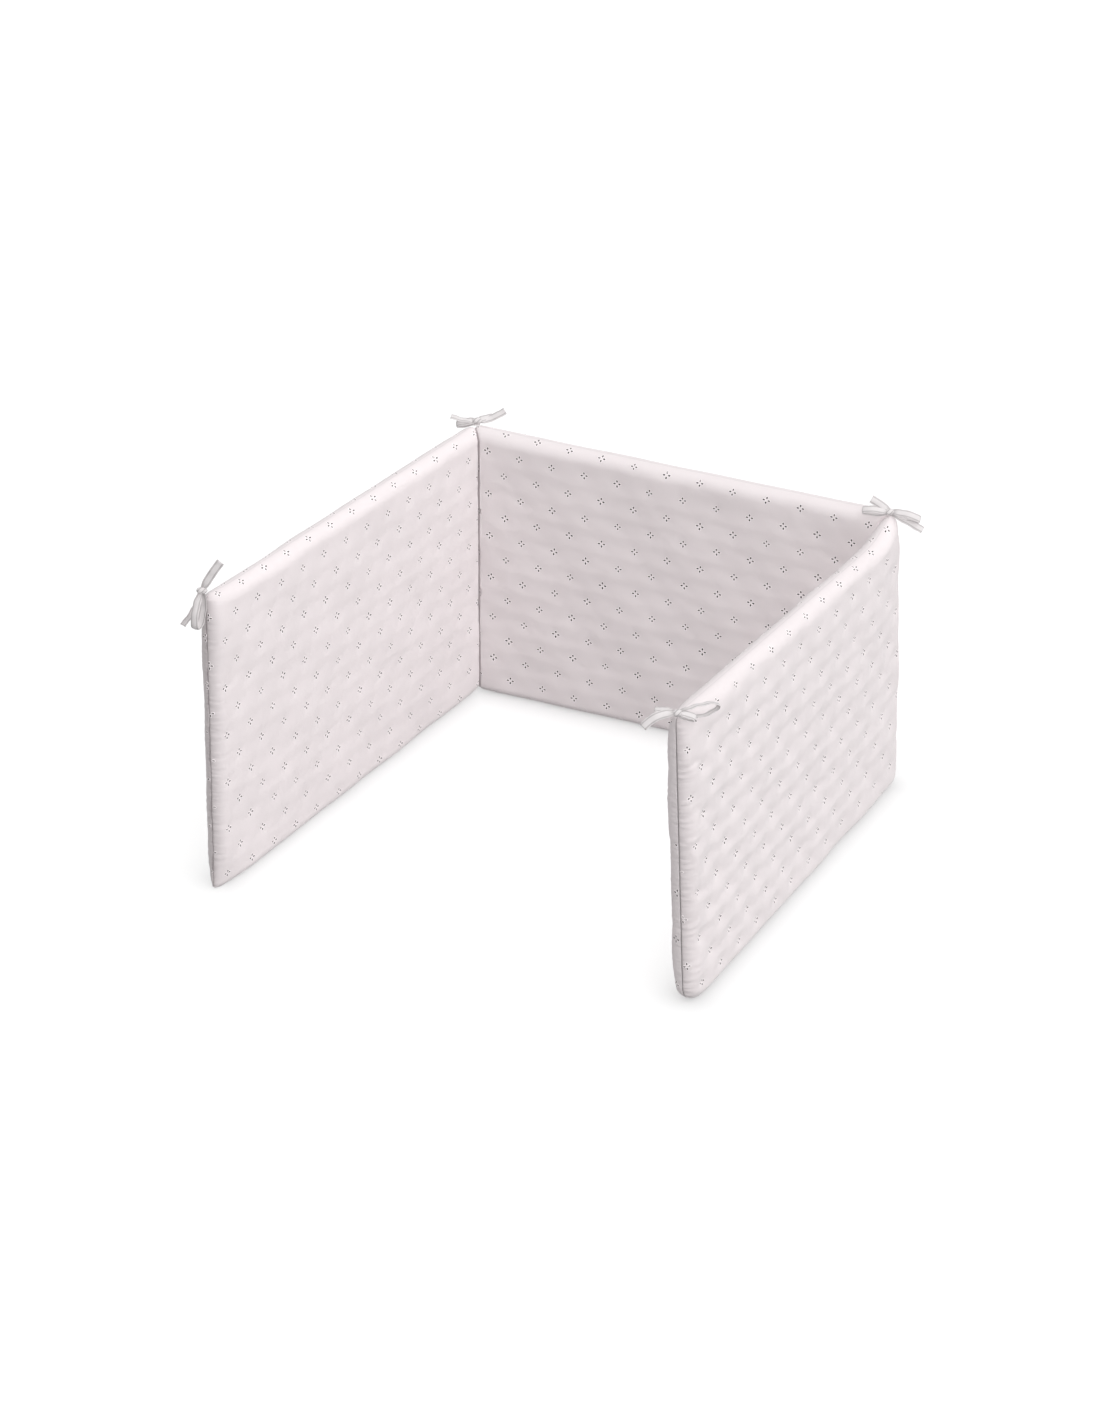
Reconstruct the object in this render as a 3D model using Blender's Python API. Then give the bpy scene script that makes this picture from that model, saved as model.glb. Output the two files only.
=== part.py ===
"""Crib bumper: three padded cloth panels sewn end to end in a U, with a ribbon tie at each top corner.

The panels stand on their long bottom edges. The U opens towards -Y, the back panel runs along X,
and +Z is up. Every panel is a filled pad of two cloths sewn together round the edge, so it has no
boxing strip: its thickness rises from a seam that runs round at mid thickness.
Lengths are metres and angles are degrees, except in TIE_STRANDS, which is in millimetres.
"""

import math
from typing import NamedTuple

import bpy
import numpy as np

# ---------------------------------------------------------------- sizes of the panels
PANEL_LENGTH = 0.600          # seam to seam
PANEL_HEIGHT = 0.400
PANEL_THICKNESS = 0.034
SPLAY_LEFT = 8.0              # the left panel's free end stands outwards by this much
SPLAY_RIGHT = -5.1            # the right panel's free end stands inwards

EDGE_ROUND = 0.0165           # how far from its top and bottom seams a pad is full
EDGE_BLUNTNESS = 2.1          # 2 is a round edge, more is squarer
CROWN = 0.0014                # how far the middle of a face stands proud of its rim
FLOOR_SINK = 0.0016           # the bottom edge is pressed flat by this much where it stands
SEWN_GAP = 0.0003             # between two pieces that touch
EAR_REACH = 0.042             # a top corner stands above its drawn-in edge over this length
PINCH_LENGTH = 0.030          # a corner is thinner than the rest within about this distance

# Rows and columns of a face, measured from its rim, and how many lie between the rims.
RIM_STEPS = (0.0, 0.0012, 0.0036, 0.0072, 0.0115, 0.0180, 0.0280)
MIDDLE_COLUMNS = 17
MIDDLE_ROWS = 13

# ---------------------------------------------------------------- sizes of the ties
RIBBON_WIDTH = 0.0105
RIBBON_THICKNESS = 0.0012
RIBBON_PINCH = 0.55           # share of the width that is left where the knot gathers the ribbon
PINCH_REACH = 0.30            # share of a strand over which it opens out to its full width
TAIL_STATIONS = 9
LOOP_STATIONS = 21
KNOT_RADII = (0.0058, 0.0046, 0.0046)
KNOT_AROUND = 14
KNOT_ALONG = 8
KNOT_RIB = 0.10               # depth of the furrows between the knot's turns, as a share
KNOT_FURROWS = 2.0            # pairs of furrows round the knot
KNOT_TWIST = 3.0              # how far a furrow winds round from one end to the other, in radians
LOOP_FULLNESS = 0.5           # below 1 a loop opens early, close to its knot
TIE_VIEW_TURN = 23.4          # the ties' own "right" axis is turned this far from +X towards +Y

MILLIMETRE = 0.001


class Wave(NamedTuple):
    """One train of soft waves in the filling: its height, its lengths and where it starts."""

    height: float
    length_along: float
    length_up: float
    start: float


WAVES = (
    Wave(0.0006, 0.150, 0.260, 0.0),
    Wave(0.0005, -0.115, 0.170, 1.9),
    Wave(0.0004, 0.230, -0.095, 4.1),
)
INNER_FACE_PHASE = 5.0        # so that the two faces of a pad are uneven in different places


class Upright(NamedTuple):
    """One of the four upright seams.

    shift moves its foot off the plan's own corner, and lean places its top over its foot.
    """

    shift_x: float
    shift_y: float
    lean_x: float
    lean_y: float
    height: float


UPRIGHTS = {
    "front_left": Upright(-0.002, 0.000, -0.007, 0.029, 0.404),
    "back_left": Upright(0.005, 0.000, 0.009, -0.016, 0.403),
    "back_right": Upright(0.000, -0.004, -0.005, -0.023, 0.402),
    "front_right": Upright(0.000, 0.000, -0.015, -0.003, 0.402),
}


class End(NamedTuple):
    """One upright end of a pad.

    outer_round and inner_round are how far from the seam each face is full. ear is how far the
    top corner stands above the drawn-in edge beside it, and fade how fast that edge rises again.
    """

    upright: str
    sewn: bool
    outer_round: float
    inner_round: float
    ear: float
    fade: float


class Corner(NamedTuple):
    """One corner of a pad's outline: its two radii, and how much thinner the pad is there."""

    along: float
    up: float
    pinch: float


class Panel(NamedTuple):
    """A pad between two uprights."""

    start: End
    end: End
    start_bottom: Corner
    end_bottom: Corner
    start_top: Corner
    end_top: Corner
    phase: float


PANELS = {
    "panel_left": Panel(
        start=End("back_left", True, 0.0170, 0.014, 0.001, 1.0),
        end=End("front_left", False, 0.0180, 0.0150, 0.005, 3.0),
        start_bottom=Corner(0.018, 0.018, 0.1),
        end_bottom=Corner(0.014, 0.005, 0.35),
        start_top=Corner(0.009, 0.009, 0.1),
        end_top=Corner(0.009, 0.009, 0.25),
        phase=0.4,
    ),
    "panel_back": Panel(
        start=End("back_left", True, 0.0170, 0.014, 0.001, 1.0),
        end=End("back_right", True, 0.0170, 0.018, 0.002, 1.0),
        start_bottom=Corner(0.018, 0.018, 0.1),
        end_bottom=Corner(0.022, 0.022, 0.2),
        start_top=Corner(0.009, 0.009, 0.1),
        end_top=Corner(0.012, 0.012, 0.2),
        phase=1.7,
    ),
    "panel_right": Panel(
        start=End("back_right", True, 0.0200, 0.018, 0.0225, 1.0),
        end=End("front_right", False, 0.0160, 0.0085, 0.001, 1.0),
        start_bottom=Corner(0.020, 0.020, 0.1),
        end_bottom=Corner(0.028, 0.027, 0.3),
        start_top=Corner(0.012, 0.012, 0.3),
        end_top=Corner(0.014, 0.014, 0.3),
        phase=2.9,
    ),
}


class Strand(NamedTuple):
    """One free end or one loop of a tie, in millimetres from its knot.

    right, near and up place the strand's far end. arch lifts its middle, opening is the height of
    a loop, and roll turns the ribbon about the strand.
    """

    kind: str
    right: float
    near: float
    up: float
    arch: float
    opening: float
    roll: float


TIE_STRANDS = {
    "tie_front_left": (
        Strand("tail", 24, -2, 38, 1.0, 0, -70),
        Strand("tail", -25, 8, -43, -3.0, 0, -70),
        Strand("loop", -7, 11, -46, 0.0, 8.5, 140),
    ),
    "tie_back_left": (
        Strand("tail", -34, -5, 4.5, -1.5, 0, 5),
        Strand("tail", 36, -6, 12, -3.0, 0, -32),
        Strand("loop", -27, -4, -7, 0.0, 4.0, 37),
        Strand("loop", 22, -9, 1, 0.0, 3.0, -25),
    ),
    "tie_back_right": (
        Strand("tail", -23, -9, 14, 1.0, 0, 50),
        Strand("tail", 41, 10, -20, 1.0, 0, -30),
        Strand("loop", 37, 9, -6, 1.0, 5.5, -35),
        Strand("loop", -34, -4, 1, 0.0, 5.0, 30),
    ),
    "tie_front_right": (
        Strand("tail", -26, -6, 2, 2.0, 0, 0),
        Strand("tail", -40, 10, -13, 6.5, 0, 50),
        Strand("loop", 48, -20, -1, -2.0, 8.5, 12),
        Strand("loop", 20, 3, -5, 0.0, 4.0, -20),
    ),
}

# Where each knot's centre sits: right, near and up from the top of its upright, in millimetres.
TIE_SEATS = {
    "tie_front_left": ("front_left", (-4.0, 3.0, 6.5)),
    "tie_back_left": ("back_left", (4.0, -1.0, 3.9)),
    "tie_back_right": ("back_right", (-5.0, 8.0, 1.8)),
    "tie_front_right": ("front_right", (2.5, 3.0, 2.7)),
}

PAD_COLOUR = (0.83, 0.77, 0.78, 1.0)
RIBBON_COLOUR = (0.74, 0.70, 0.71, 1.0)
CLOTH_ROUGHNESS = 0.85


# ---------------------------------------------------------------- the plan of the U
def upright_feet():
    """Foot of each upright seam on the floor, in a frame whose origin is mid back panel."""
    half = PANEL_LENGTH / 2
    left = math.radians(SPLAY_LEFT)
    right = math.radians(SPLAY_RIGHT)
    feet = {
        "back_left": np.array([-half, 0.0]),
        "back_right": np.array([half, 0.0]),
        "front_left": np.array([-half - PANEL_LENGTH * math.sin(left), -PANEL_LENGTH * math.cos(left)]),
        "front_right": np.array([half + PANEL_LENGTH * math.sin(right), -PANEL_LENGTH * math.cos(right)]),
    }
    for name, upright in UPRIGHTS.items():
        feet[name] = feet[name] + np.array([upright.shift_x, upright.shift_y])
    return feet


def upright_lines():
    """Bottom and top point of each upright seam."""
    lines = {}
    for name, foot in upright_feet().items():
        lean = UPRIGHTS[name]
        bottom = np.array([foot[0], foot[1], 0.0])
        top = bottom + np.array([lean.lean_x, lean.lean_y, lean.height])
        lines[name] = (bottom, top)
    return lines


def unit(vector):
    """The vector at length 1."""
    return vector / np.linalg.norm(vector)


def corner_plane(lines, corner):
    """The plane that halves a sewn corner: a point on it, and its normal towards the back panel."""
    bottom, top = lines[corner]
    side = "front_left" if corner == "back_left" else "front_right"
    other = "back_right" if corner == "back_left" else "back_left"
    along_side = unit(sum(lines[side]) - bottom - top)
    along_back = unit(sum(lines[other]) - bottom - top)
    inward = unit(along_side + along_back)
    normal = unit(np.cross(inward, unit(top - bottom)))
    if normal @ along_back < 0:
        normal = -normal
    return (bottom + top) / 2, normal


# ---------------------------------------------------------------- a padded panel
def rim_positions(size, middle):
    """Distances along one side: close together at both rims, even in the middle."""
    rim = np.array(RIM_STEPS)
    inner = np.linspace(rim[-1], size - rim[-1], middle + 1)[1:-1]
    return np.concatenate([rim, inner, size - rim[::-1]])


def edge_rise(distance, reach):
    """Share of the full thickness at a distance from a seam: a blunt quarter ellipse."""
    share = np.clip(distance / reach, 0.0, 1.0)
    return (1.0 - (1.0 - share) ** EDGE_BLUNTNESS) ** (1.0 / EDGE_BLUNTNESS)


def round_corner(along, up, corner):
    """Pull the square corner at 0, 0 of a face in to a quarter of an ellipse."""
    a = np.clip(1.0 - along / corner.along, 0.0, 1.0)
    b = np.clip(1.0 - up / corner.up, 0.0, 1.0)
    pulled_along = along + corner.along * a * (1.0 - np.sqrt(1.0 - b * b / 2.0))
    pulled_up = up + corner.up * b * (1.0 - np.sqrt(1.0 - a * a / 2.0))
    return pulled_along, pulled_up


def round_face(along, up, length, height, panel):
    """Round the four corners of a face."""
    along, up = round_corner(along, up, panel.start_bottom)
    back, up = round_corner(length - along, up, panel.end_bottom)
    along, down = round_corner(length - back, height - up, panel.start_top)
    back, down = round_corner(length - along, down, panel.end_top)
    return length - back, height - down


def pinched_corners(along, up, length, height, panel):
    """Share of the thickness that is left near each corner, where the two cloths draw together."""
    left = np.ones_like(along)
    for corner, across, rise in (
        (panel.start_bottom, along, up),
        (panel.end_bottom, length - along, up),
        (panel.start_top, along, height - up),
        (panel.end_top, length - along, height - up),
    ):
        near = np.exp(-(across**2 + rise**2) / PINCH_LENGTH**2)
        left = left * (1.0 - corner.pinch * near)
    return left


def drawn_in_top(along, length, panel):
    """How far the filling draws the top edge down between its two raised corners."""
    total = np.zeros_like(along)
    for distance, end in ((along, panel.start), (length - along, panel.end)):
        grown = 1.0 - np.exp(-((distance / EAR_REACH) ** 2))
        total = total + end.ear * grown * (1.0 - distance / length) ** end.fade
    return total


def soft_waves(along, up, phase):
    """Unevenness of the filling: long low waves that cross."""
    total = np.zeros_like(along)
    for number, wave in enumerate(WAVES, start=1):
        turns = along / wave.length_along + up / wave.length_up
        total = total + wave.height * np.sin(2.0 * math.pi * turns + wave.start + number * phase)
    return total


def half_thickness(along, up, length, height, panel, inner):
    """Distance of a face from the pad's middle surface, from its seams to its crown."""
    start_round = panel.start.inner_round if inner else panel.start.outer_round
    end_round = panel.end.inner_round if inner else panel.end.outer_round
    rise = edge_rise(along, start_round) * edge_rise(length - along, end_round)
    rise = rise * edge_rise(up, EDGE_ROUND) * edge_rise(height - up, EDGE_ROUND)
    rise = rise * pinched_corners(along, up, length, height, panel)
    crown = CROWN * np.sin(math.pi * along / length) * np.sin(math.pi * up / height)
    waves = soft_waves(along, up, panel.phase + (INNER_FACE_PHASE if inner else 0.0))
    return rise * (PANEL_THICKNESS / 2 + crown + waves)


def keep_to_side(points, direction, plane_point, plane_normal):
    """Slide the points that cross a corner's plane back along the panel, to just clear of it."""
    facing = plane_normal if plane_normal @ direction > 0 else -plane_normal
    depth = (points - plane_point) @ facing - SEWN_GAP / 2
    slide = np.where(depth < 0, -depth / (facing @ direction), 0.0)
    return points + slide[..., None] * direction


def panel_face(name, lines, inner):
    """Grid of points of one face of a panel, first index along it and second index up it."""
    panel = PANELS[name]
    start_bottom, start_top = lines[panel.start.upright]
    end_bottom, end_top = lines[panel.end.upright]
    along, up = np.meshgrid(
        rim_positions(PANEL_LENGTH, MIDDLE_COLUMNS),
        rim_positions(PANEL_HEIGHT, MIDDLE_ROWS),
        indexing="ij",
    )
    flat_along, flat_up = round_face(along, up, PANEL_LENGTH, PANEL_HEIGHT, panel)
    flat_up = flat_up * (1.0 - drawn_in_top(flat_along, PANEL_LENGTH, panel) / PANEL_HEIGHT)
    u = (flat_along / PANEL_LENGTH)[..., None]
    v = (flat_up / PANEL_HEIGHT)[..., None]
    bottom = start_bottom * (1 - u) + end_bottom * u
    top = start_top * (1 - u) + end_top * u
    middle = bottom * (1 - v) + top * v

    direction = unit(end_bottom + end_top - start_bottom - start_top)
    rising = unit(start_top + end_top - start_bottom - end_bottom)
    outward = unit(np.cross(direction, rising))
    if outward @ (start_bottom + end_bottom - sum(foot for foot, _ in lines.values()) / 2) < 0:
        outward = -outward
    rise = half_thickness(along, up, PANEL_LENGTH, PANEL_HEIGHT, panel, inner)
    points = middle + rise[..., None] * (-outward if inner else outward)

    for end, forward in ((panel.start, direction), (panel.end, -direction)):
        if end.sewn:
            plane_point, plane_normal = corner_plane(lines, end.upright)
            points = keep_to_side(points, forward, plane_point, plane_normal)
    points[..., 2] = np.maximum(points[..., 2] - FLOOR_SINK, 0.0)
    return points


def close_pad(outer, inner):
    """One closed mesh of two faces that share their rim."""
    columns, rows = outer.shape[:2]
    outer_index = np.arange(columns * rows).reshape(columns, rows)
    inner_index = outer_index.copy()
    inside = (columns - 2) * (rows - 2)
    inner_index[1:-1, 1:-1] = columns * rows + np.arange(inside).reshape(columns - 2, rows - 2)
    vertices = np.concatenate([outer.reshape(-1, 3), inner[1:-1, 1:-1].reshape(-1, 3)])

    def quads(index):
        corners = (index[:-1, :-1], index[1:, :-1], index[1:, 1:], index[:-1, 1:])
        return np.stack(corners, axis=-1).reshape(-1, 4)

    faces = np.concatenate([quads(outer_index), quads(inner_index)[:, ::-1]])
    return vertices, faces


# ---------------------------------------------------------------- a ribbon tie
def tie_axes():
    """Right, near and up axes in which the ties are laid out."""
    turn = math.radians(TIE_VIEW_TURN)
    right = np.array([math.cos(turn), math.sin(turn), 0.0])
    near = np.array([math.sin(turn), -math.cos(turn), 0.0])
    return np.stack([right, near, np.array([0.0, 0.0, 1.0])])


def strand_path(strand):
    """Centre line of a strand from its knot, and the direction across its ribbon."""
    reach = np.array([strand.right, strand.near, strand.up]) * MILLIMETRE @ tie_axes()
    axis = unit(reach)
    level = unit(np.cross(axis, np.array([0.0, 0.0, 1.0])))
    lift = np.cross(level, axis)
    roll = math.radians(strand.roll)
    across = math.cos(roll) * level + math.sin(roll) * lift
    opening_way = math.cos(roll) * lift - math.sin(roll) * level
    if strand.kind == "tail":
        share = np.linspace(0.0, 1.0, TAIL_STATIONS)
        swing = np.zeros_like(share)
    else:
        turn = np.linspace(0.0, 2.0 * math.pi, LOOP_STATIONS)
        share = (1.0 - np.cos(turn)) / 2.0
        swing = np.sin(turn) * np.sin(turn / 2.0) ** LOOP_FULLNESS * strand.opening * MILLIMETRE
    arch = 4.0 * share * (1.0 - share) * strand.arch * MILLIMETRE
    path = share[:, None] * reach + arch[:, None] * lift + swing[:, None] * opening_way
    return path, share, across


def ribbon_mesh(path, share, across):
    """A flat ribbon along a path: a thin rectangle at each station, with both ends closed."""
    tangent = np.gradient(path, axis=0)
    tangent = tangent / np.linalg.norm(tangent, axis=1, keepdims=True)
    side = across - (tangent @ across)[:, None] * tangent
    side = side / np.linalg.norm(side, axis=1, keepdims=True)
    face = np.cross(tangent, side)
    opened = RIBBON_PINCH + (1.0 - RIBBON_PINCH) * np.clip(share / PINCH_REACH, 0.0, 1.0)
    half_width = (RIBBON_WIDTH / 2 * opened)[:, None]
    half_depth = RIBBON_THICKNESS / 2
    corners = ((-1, -1), (1, -1), (1, 1), (-1, 1))
    rings = np.stack([path + a * half_width * side + b * half_depth * face for a, b in corners], axis=1)
    stations = len(path)
    index = np.arange(stations * 4).reshape(stations, 4)
    following = np.roll(index, -1, axis=1)
    walls = np.stack([index[:-1], following[:-1], following[1:], index[1:]], axis=-1).reshape(-1, 4)
    faces = [tuple(row) for row in walls.tolist()]
    faces.append(tuple(index[0][::-1].tolist()))
    faces.append(tuple(index[-1].tolist()))
    return rings.reshape(-1, 3), faces


def knot_mesh():
    """The knot: a small lump wider than it is high, furrowed between the ribbon's turns."""
    polar = np.linspace(0.0, math.pi, KNOT_ALONG + 1)[1:-1]
    around = np.linspace(0.0, 2.0 * math.pi, KNOT_AROUND, endpoint=False)
    tilt, turn = np.meshgrid(polar, around, indexing="ij")
    swell = 1.0 - KNOT_RIB * np.cos(KNOT_FURROWS * turn + KNOT_TWIST * tilt) ** 2
    x = KNOT_RADII[0] * np.cos(tilt) * swell
    y = KNOT_RADII[1] * np.sin(tilt) * np.cos(turn) * swell
    z = KNOT_RADII[2] * np.sin(tilt) * np.sin(turn) * swell
    poles = np.array([[KNOT_RADII[0], 0.0, 0.0], [-KNOT_RADII[0], 0.0, 0.0]])
    vertices = np.concatenate([np.stack([x, y, z], axis=-1).reshape(-1, 3), poles]) @ tie_axes()
    index = np.arange(len(polar) * KNOT_AROUND).reshape(len(polar), KNOT_AROUND)
    following = np.roll(index, -1, axis=1)
    walls = np.stack([index[:-1], index[1:], following[1:], following[:-1]], axis=-1).reshape(-1, 4)
    faces = [tuple(row) for row in walls.tolist()]
    first, last = index.size, index.size + 1
    faces += [(first, int(a), int(b)) for a, b in zip(index[0], following[0])]
    faces += [(last, int(b), int(a)) for a, b in zip(index[-1], following[-1])]
    return vertices, faces


def tie_pieces(name, lines):
    """A tie's knot, then its strands: each one's name, vertices and faces, placed on the upright."""
    upright, offset = TIE_SEATS[name]
    seat = lines[upright][1] + np.array(offset) * MILLIMETRE @ tie_axes()
    vertices, faces = knot_mesh()
    pieces = [(name, vertices + seat, faces)]
    for number, strand in enumerate(TIE_STRANDS[name]):
        vertices, faces = ribbon_mesh(*strand_path(strand))
        pieces.append((f"{name}_{strand.kind}_{number}", vertices + seat, faces))
    return pieces


# ---------------------------------------------------------------- Blender objects
def clear_scene():
    """Remove whatever the open file holds."""
    for old in list(bpy.data.objects):
        bpy.data.objects.remove(old, do_unlink=True)


def cloth_material(name, colour):
    """A matt cloth material."""
    material = bpy.data.materials.new(name)
    material.use_nodes = True
    shader = material.node_tree.nodes["Principled BSDF"]
    shader.inputs["Base Color"].default_value = colour
    shader.inputs["Roughness"].default_value = CLOTH_ROUGHNESS
    shader.inputs["Metallic"].default_value = 0.0
    return material


def add_object(name, vertices, faces, material):
    """Put a mesh into the scene, shaded smooth with its faces pointing outwards."""
    mesh = bpy.data.meshes.new(name)
    mesh.from_pydata(np.asarray(vertices).tolist(), [], [tuple(face) for face in faces])
    mesh.validate()
    if signed_volume(mesh) < 0:
        mesh.flip_normals()
    mesh.shade_smooth()
    mesh.materials.append(material)
    thing = bpy.data.objects.new(name, mesh)
    bpy.context.scene.collection.objects.link(thing)
    return thing


def signed_volume(mesh):
    """Volume inside a mesh, negative where its faces point inwards."""
    mesh.calc_loop_triangles()
    corners = np.array([vertex.co[:] for vertex in mesh.vertices])
    triangles = np.array([triangle.vertices[:] for triangle in mesh.loop_triangles])
    a, b, c = (corners[triangles[:, k]] for k in range(3))
    return float(np.einsum("ij,ij->i", a, np.cross(b, c)).sum() / 6.0)


def fuse(base, piece):
    """Fuse a guide piece into a base object with a Boolean union, and hide the guide."""
    piece.hide_render = True
    piece.display_type = "WIRE"
    union = base.modifiers.new("Fuse " + piece.name, "BOOLEAN")
    union.operation = "UNION"
    union.solver = "EXACT"
    union.object = piece


def build_panels(lines, shift):
    """The three padded panels."""
    for name in PANELS:
        outer = panel_face(name, lines, inner=False)
        inner = panel_face(name, lines, inner=True)
        vertices, faces = close_pad(outer - shift, inner - shift)
        add_object(name, vertices, faces, cloth_material(name + "_cloth", PAD_COLOUR))


def build_ties(lines, shift):
    """The four ribbon ties, each a knot with its loops and free ends fused to it."""
    for name in TIE_STRANDS:
        material = cloth_material(name + "_ribbon", RIBBON_COLOUR)
        pieces = [
            add_object(piece_name, vertices - shift, faces, material)
            for piece_name, vertices, faces in tie_pieces(name, lines)
        ]
        for strand in pieces[1:]:
            fuse(pieces[0], strand)


def plan_centre(lines):
    """Middle of the whole part's box on the floor, which becomes the origin."""
    clouds = [panel_face(name, lines, inner).reshape(-1, 3) for name in PANELS for inner in (False, True)]
    clouds += [vertices for name in TIE_STRANDS for _, vertices, _ in tie_pieces(name, lines)]
    points = np.concatenate(clouds)
    middle = (points.min(axis=0) + points.max(axis=0)) / 2
    return np.array([middle[0], middle[1], 0.0])


def main():
    """Build the bumper."""
    clear_scene()
    lines = upright_lines()
    shift = plan_centre(lines)
    build_panels(lines, shift)
    build_ties(lines, shift)


main()
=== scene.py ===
"""Crib bumper: three padded cotton panels with embroidered eyelets, and four ribbon ties.

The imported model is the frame. Each padded panel and each tie is worked out again here from the same
sizes as the frame's solids, on a finer grid, and stands for its node. Lengths are metres and angles
are degrees, except in the tables of the ties, which are in millimetres.
"""

import logging
import math
from dataclasses import dataclass, field
from enum import Enum

import bpy
import numpy as np
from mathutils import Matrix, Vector


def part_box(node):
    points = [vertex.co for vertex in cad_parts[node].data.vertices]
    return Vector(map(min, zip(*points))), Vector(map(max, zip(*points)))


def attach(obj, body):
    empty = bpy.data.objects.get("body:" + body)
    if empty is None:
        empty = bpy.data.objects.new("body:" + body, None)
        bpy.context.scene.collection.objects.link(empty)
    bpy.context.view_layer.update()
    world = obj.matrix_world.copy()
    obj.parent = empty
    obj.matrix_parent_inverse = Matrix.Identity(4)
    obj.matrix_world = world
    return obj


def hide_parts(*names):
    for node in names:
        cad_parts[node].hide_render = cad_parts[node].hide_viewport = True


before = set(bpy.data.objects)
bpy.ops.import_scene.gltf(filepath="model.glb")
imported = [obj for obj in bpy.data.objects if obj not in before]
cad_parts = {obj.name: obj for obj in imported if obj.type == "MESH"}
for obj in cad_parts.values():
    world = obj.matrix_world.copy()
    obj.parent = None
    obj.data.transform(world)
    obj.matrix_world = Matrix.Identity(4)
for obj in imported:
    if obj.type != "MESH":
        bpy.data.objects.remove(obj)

LOG = logging.getLogger("crib_bumper")

MILLIMETRE = 0.001
FULL_TURN = 2.0 * math.pi
ON_PLAN = np.array([1.0, 1.0, 0.0])
SPARE_FLOWERS = 3


class Face(Enum):
    """The two cloths of a padded panel."""

    OUTER = 1.0
    INNER = -1.0


class StrandKind(Enum):
    """What a length of ribbon does after it leaves its knot."""

    TAIL = "tail"
    LOOP = "loop"


# ---------------------------------------------------------------- the frame's own sizes
@dataclass(frozen=True)
class PadMeasure:
    """Sizes that the three panels share.

    The names and values are those of the frame's solids: reach is how far from a seam a pad is
    full, crown how far its middle stands proud, sink how much the floor presses off its bottom.
    """

    length: float = 0.600
    height: float = 0.400
    thickness: float = 0.034
    reach: float = 0.0165
    bluntness: float = 2.1
    crown: float = 0.0014
    sink: float = 0.0016
    sewn_gap: float = 0.0003
    ear_reach: float = 0.042
    pinch_length: float = 0.030
    splay_left: float = 8.0
    splay_right: float = -5.1


MEASURE = PadMeasure()


@dataclass(frozen=True)
class Upright:
    """An upright seam: how far its foot is shifted, and where its top is over its foot."""

    shift: tuple[float, float]
    lean: tuple[float, float]
    height: float


@dataclass(frozen=True)
class PadEnd:
    """An upright end of a pad: its seam, the reach of both faces there, and its raised ear."""

    upright: str
    sewn: bool
    outer_reach: float
    inner_reach: float
    ear: float
    fade: float

    def reach(self, face: Face) -> float:
        """How far from this end the given face is full."""
        return self.inner_reach if face is Face.INNER else self.outer_reach


@dataclass(frozen=True)
class PadCorner:
    """A rounded corner of a pad's outline, and how much thinner the pad is there."""

    along: float
    up: float
    pinch: float


@dataclass(frozen=True)
class PadShape:
    """One pad between two uprights."""

    start: PadEnd
    end: PadEnd
    start_bottom: PadCorner
    end_bottom: PadCorner
    start_top: PadCorner
    end_top: PadCorner
    phase: float


@dataclass(frozen=True)
class EyeletRows:
    """The even rows in which the eyelet flowers are embroidered on one cloth.

    A flower in column i of row j lies at b = start_up + j * row and
    a = start_along + (i, or i + 1/2 in odd rows) * pitch + lean * b. All of them are then turned
    about the face's middle.
    """

    turn: float
    pitch: float
    row: float
    start_along: float
    start_up: float
    lean: float

    def centres(self, reach_along: float, reach_up: float) -> tuple[np.ndarray, np.ndarray]:
        """Work out the flowers' centres.

        Args:
            reach_along: Half the length to cover, from the middle of the face.
            reach_up: Half the height to cover.

        Returns:
            The centres' distances along and up the cloth, as two flat arrays.
        """
        columns = int(reach_along / self.pitch) + SPARE_FLOWERS
        rows = int(reach_up / self.row) + SPARE_FLOWERS
        i, j = np.meshgrid(
            np.arange(-columns, columns + 1), np.arange(-rows, rows + 1), indexing="ij"
        )
        b = self.start_up + j * self.row
        a = self.start_along + (i + 0.5 * (j % 2)) * self.pitch + self.lean * b
        turn = math.radians(self.turn)
        along = MEASURE.length / 2 + a * math.cos(turn) - b * math.sin(turn)
        up = MEASURE.height / 2 + a * math.sin(turn) + b * math.cos(turn)
        return along.ravel(), up.ravel()

    def moved(self, along: float, up: float) -> "EyeletRows":
        """The same rows, started elsewhere."""
        return EyeletRows(
            self.turn, self.pitch, self.row, self.start_along + along, self.start_up + up, self.lean
        )


@dataclass(frozen=True)
class Relief:
    """How uneven one face is.

    share_start and share_end are how much of the blown-up cloth's unevenness is kept at the pad's
    two ends. The four puckers are the heights in metres of the gathers that run in from the seams
    of that name, and seam_shade is how much shade is painted on the cloth towards the free
    end's seam.
    """

    share_start: float
    share_end: float
    pucker_start: float
    pucker_end: float
    pucker_top: float
    pucker_bottom: float
    seam_shade: float = 0.0


@dataclass(frozen=True)
class PadLook:
    """What scene.py adds to one pad.

    rows are its eyelets' rows, hole_shade the shade painted into their holes, and fold_tilt the
    angle of its soft folds to its length. seam_wander is how far the free end's seam strays to its
    sides, seam_width half the width of the shade painted along it, and contact the darkness of the
    shadow painted on the floor at its foot.
    """

    rows: dict[Face, EyeletRows]
    relief: dict[Face, Relief]
    hole_shade: dict[Face, float]
    fold_tilt: float
    seam_wander: float
    seam_width: float
    contact_shadow: float
    seed: int


UPRIGHTS = {
    "front_left": Upright((-0.002, 0.000), (-0.007, 0.029), 0.404),
    "back_left": Upright((0.005, 0.000), (0.009, -0.016), 0.403),
    "back_right": Upright((0.000, -0.004), (-0.005, -0.023), 0.402),
    "front_right": Upright((0.000, 0.000), (-0.015, -0.003), 0.402),
}

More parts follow.
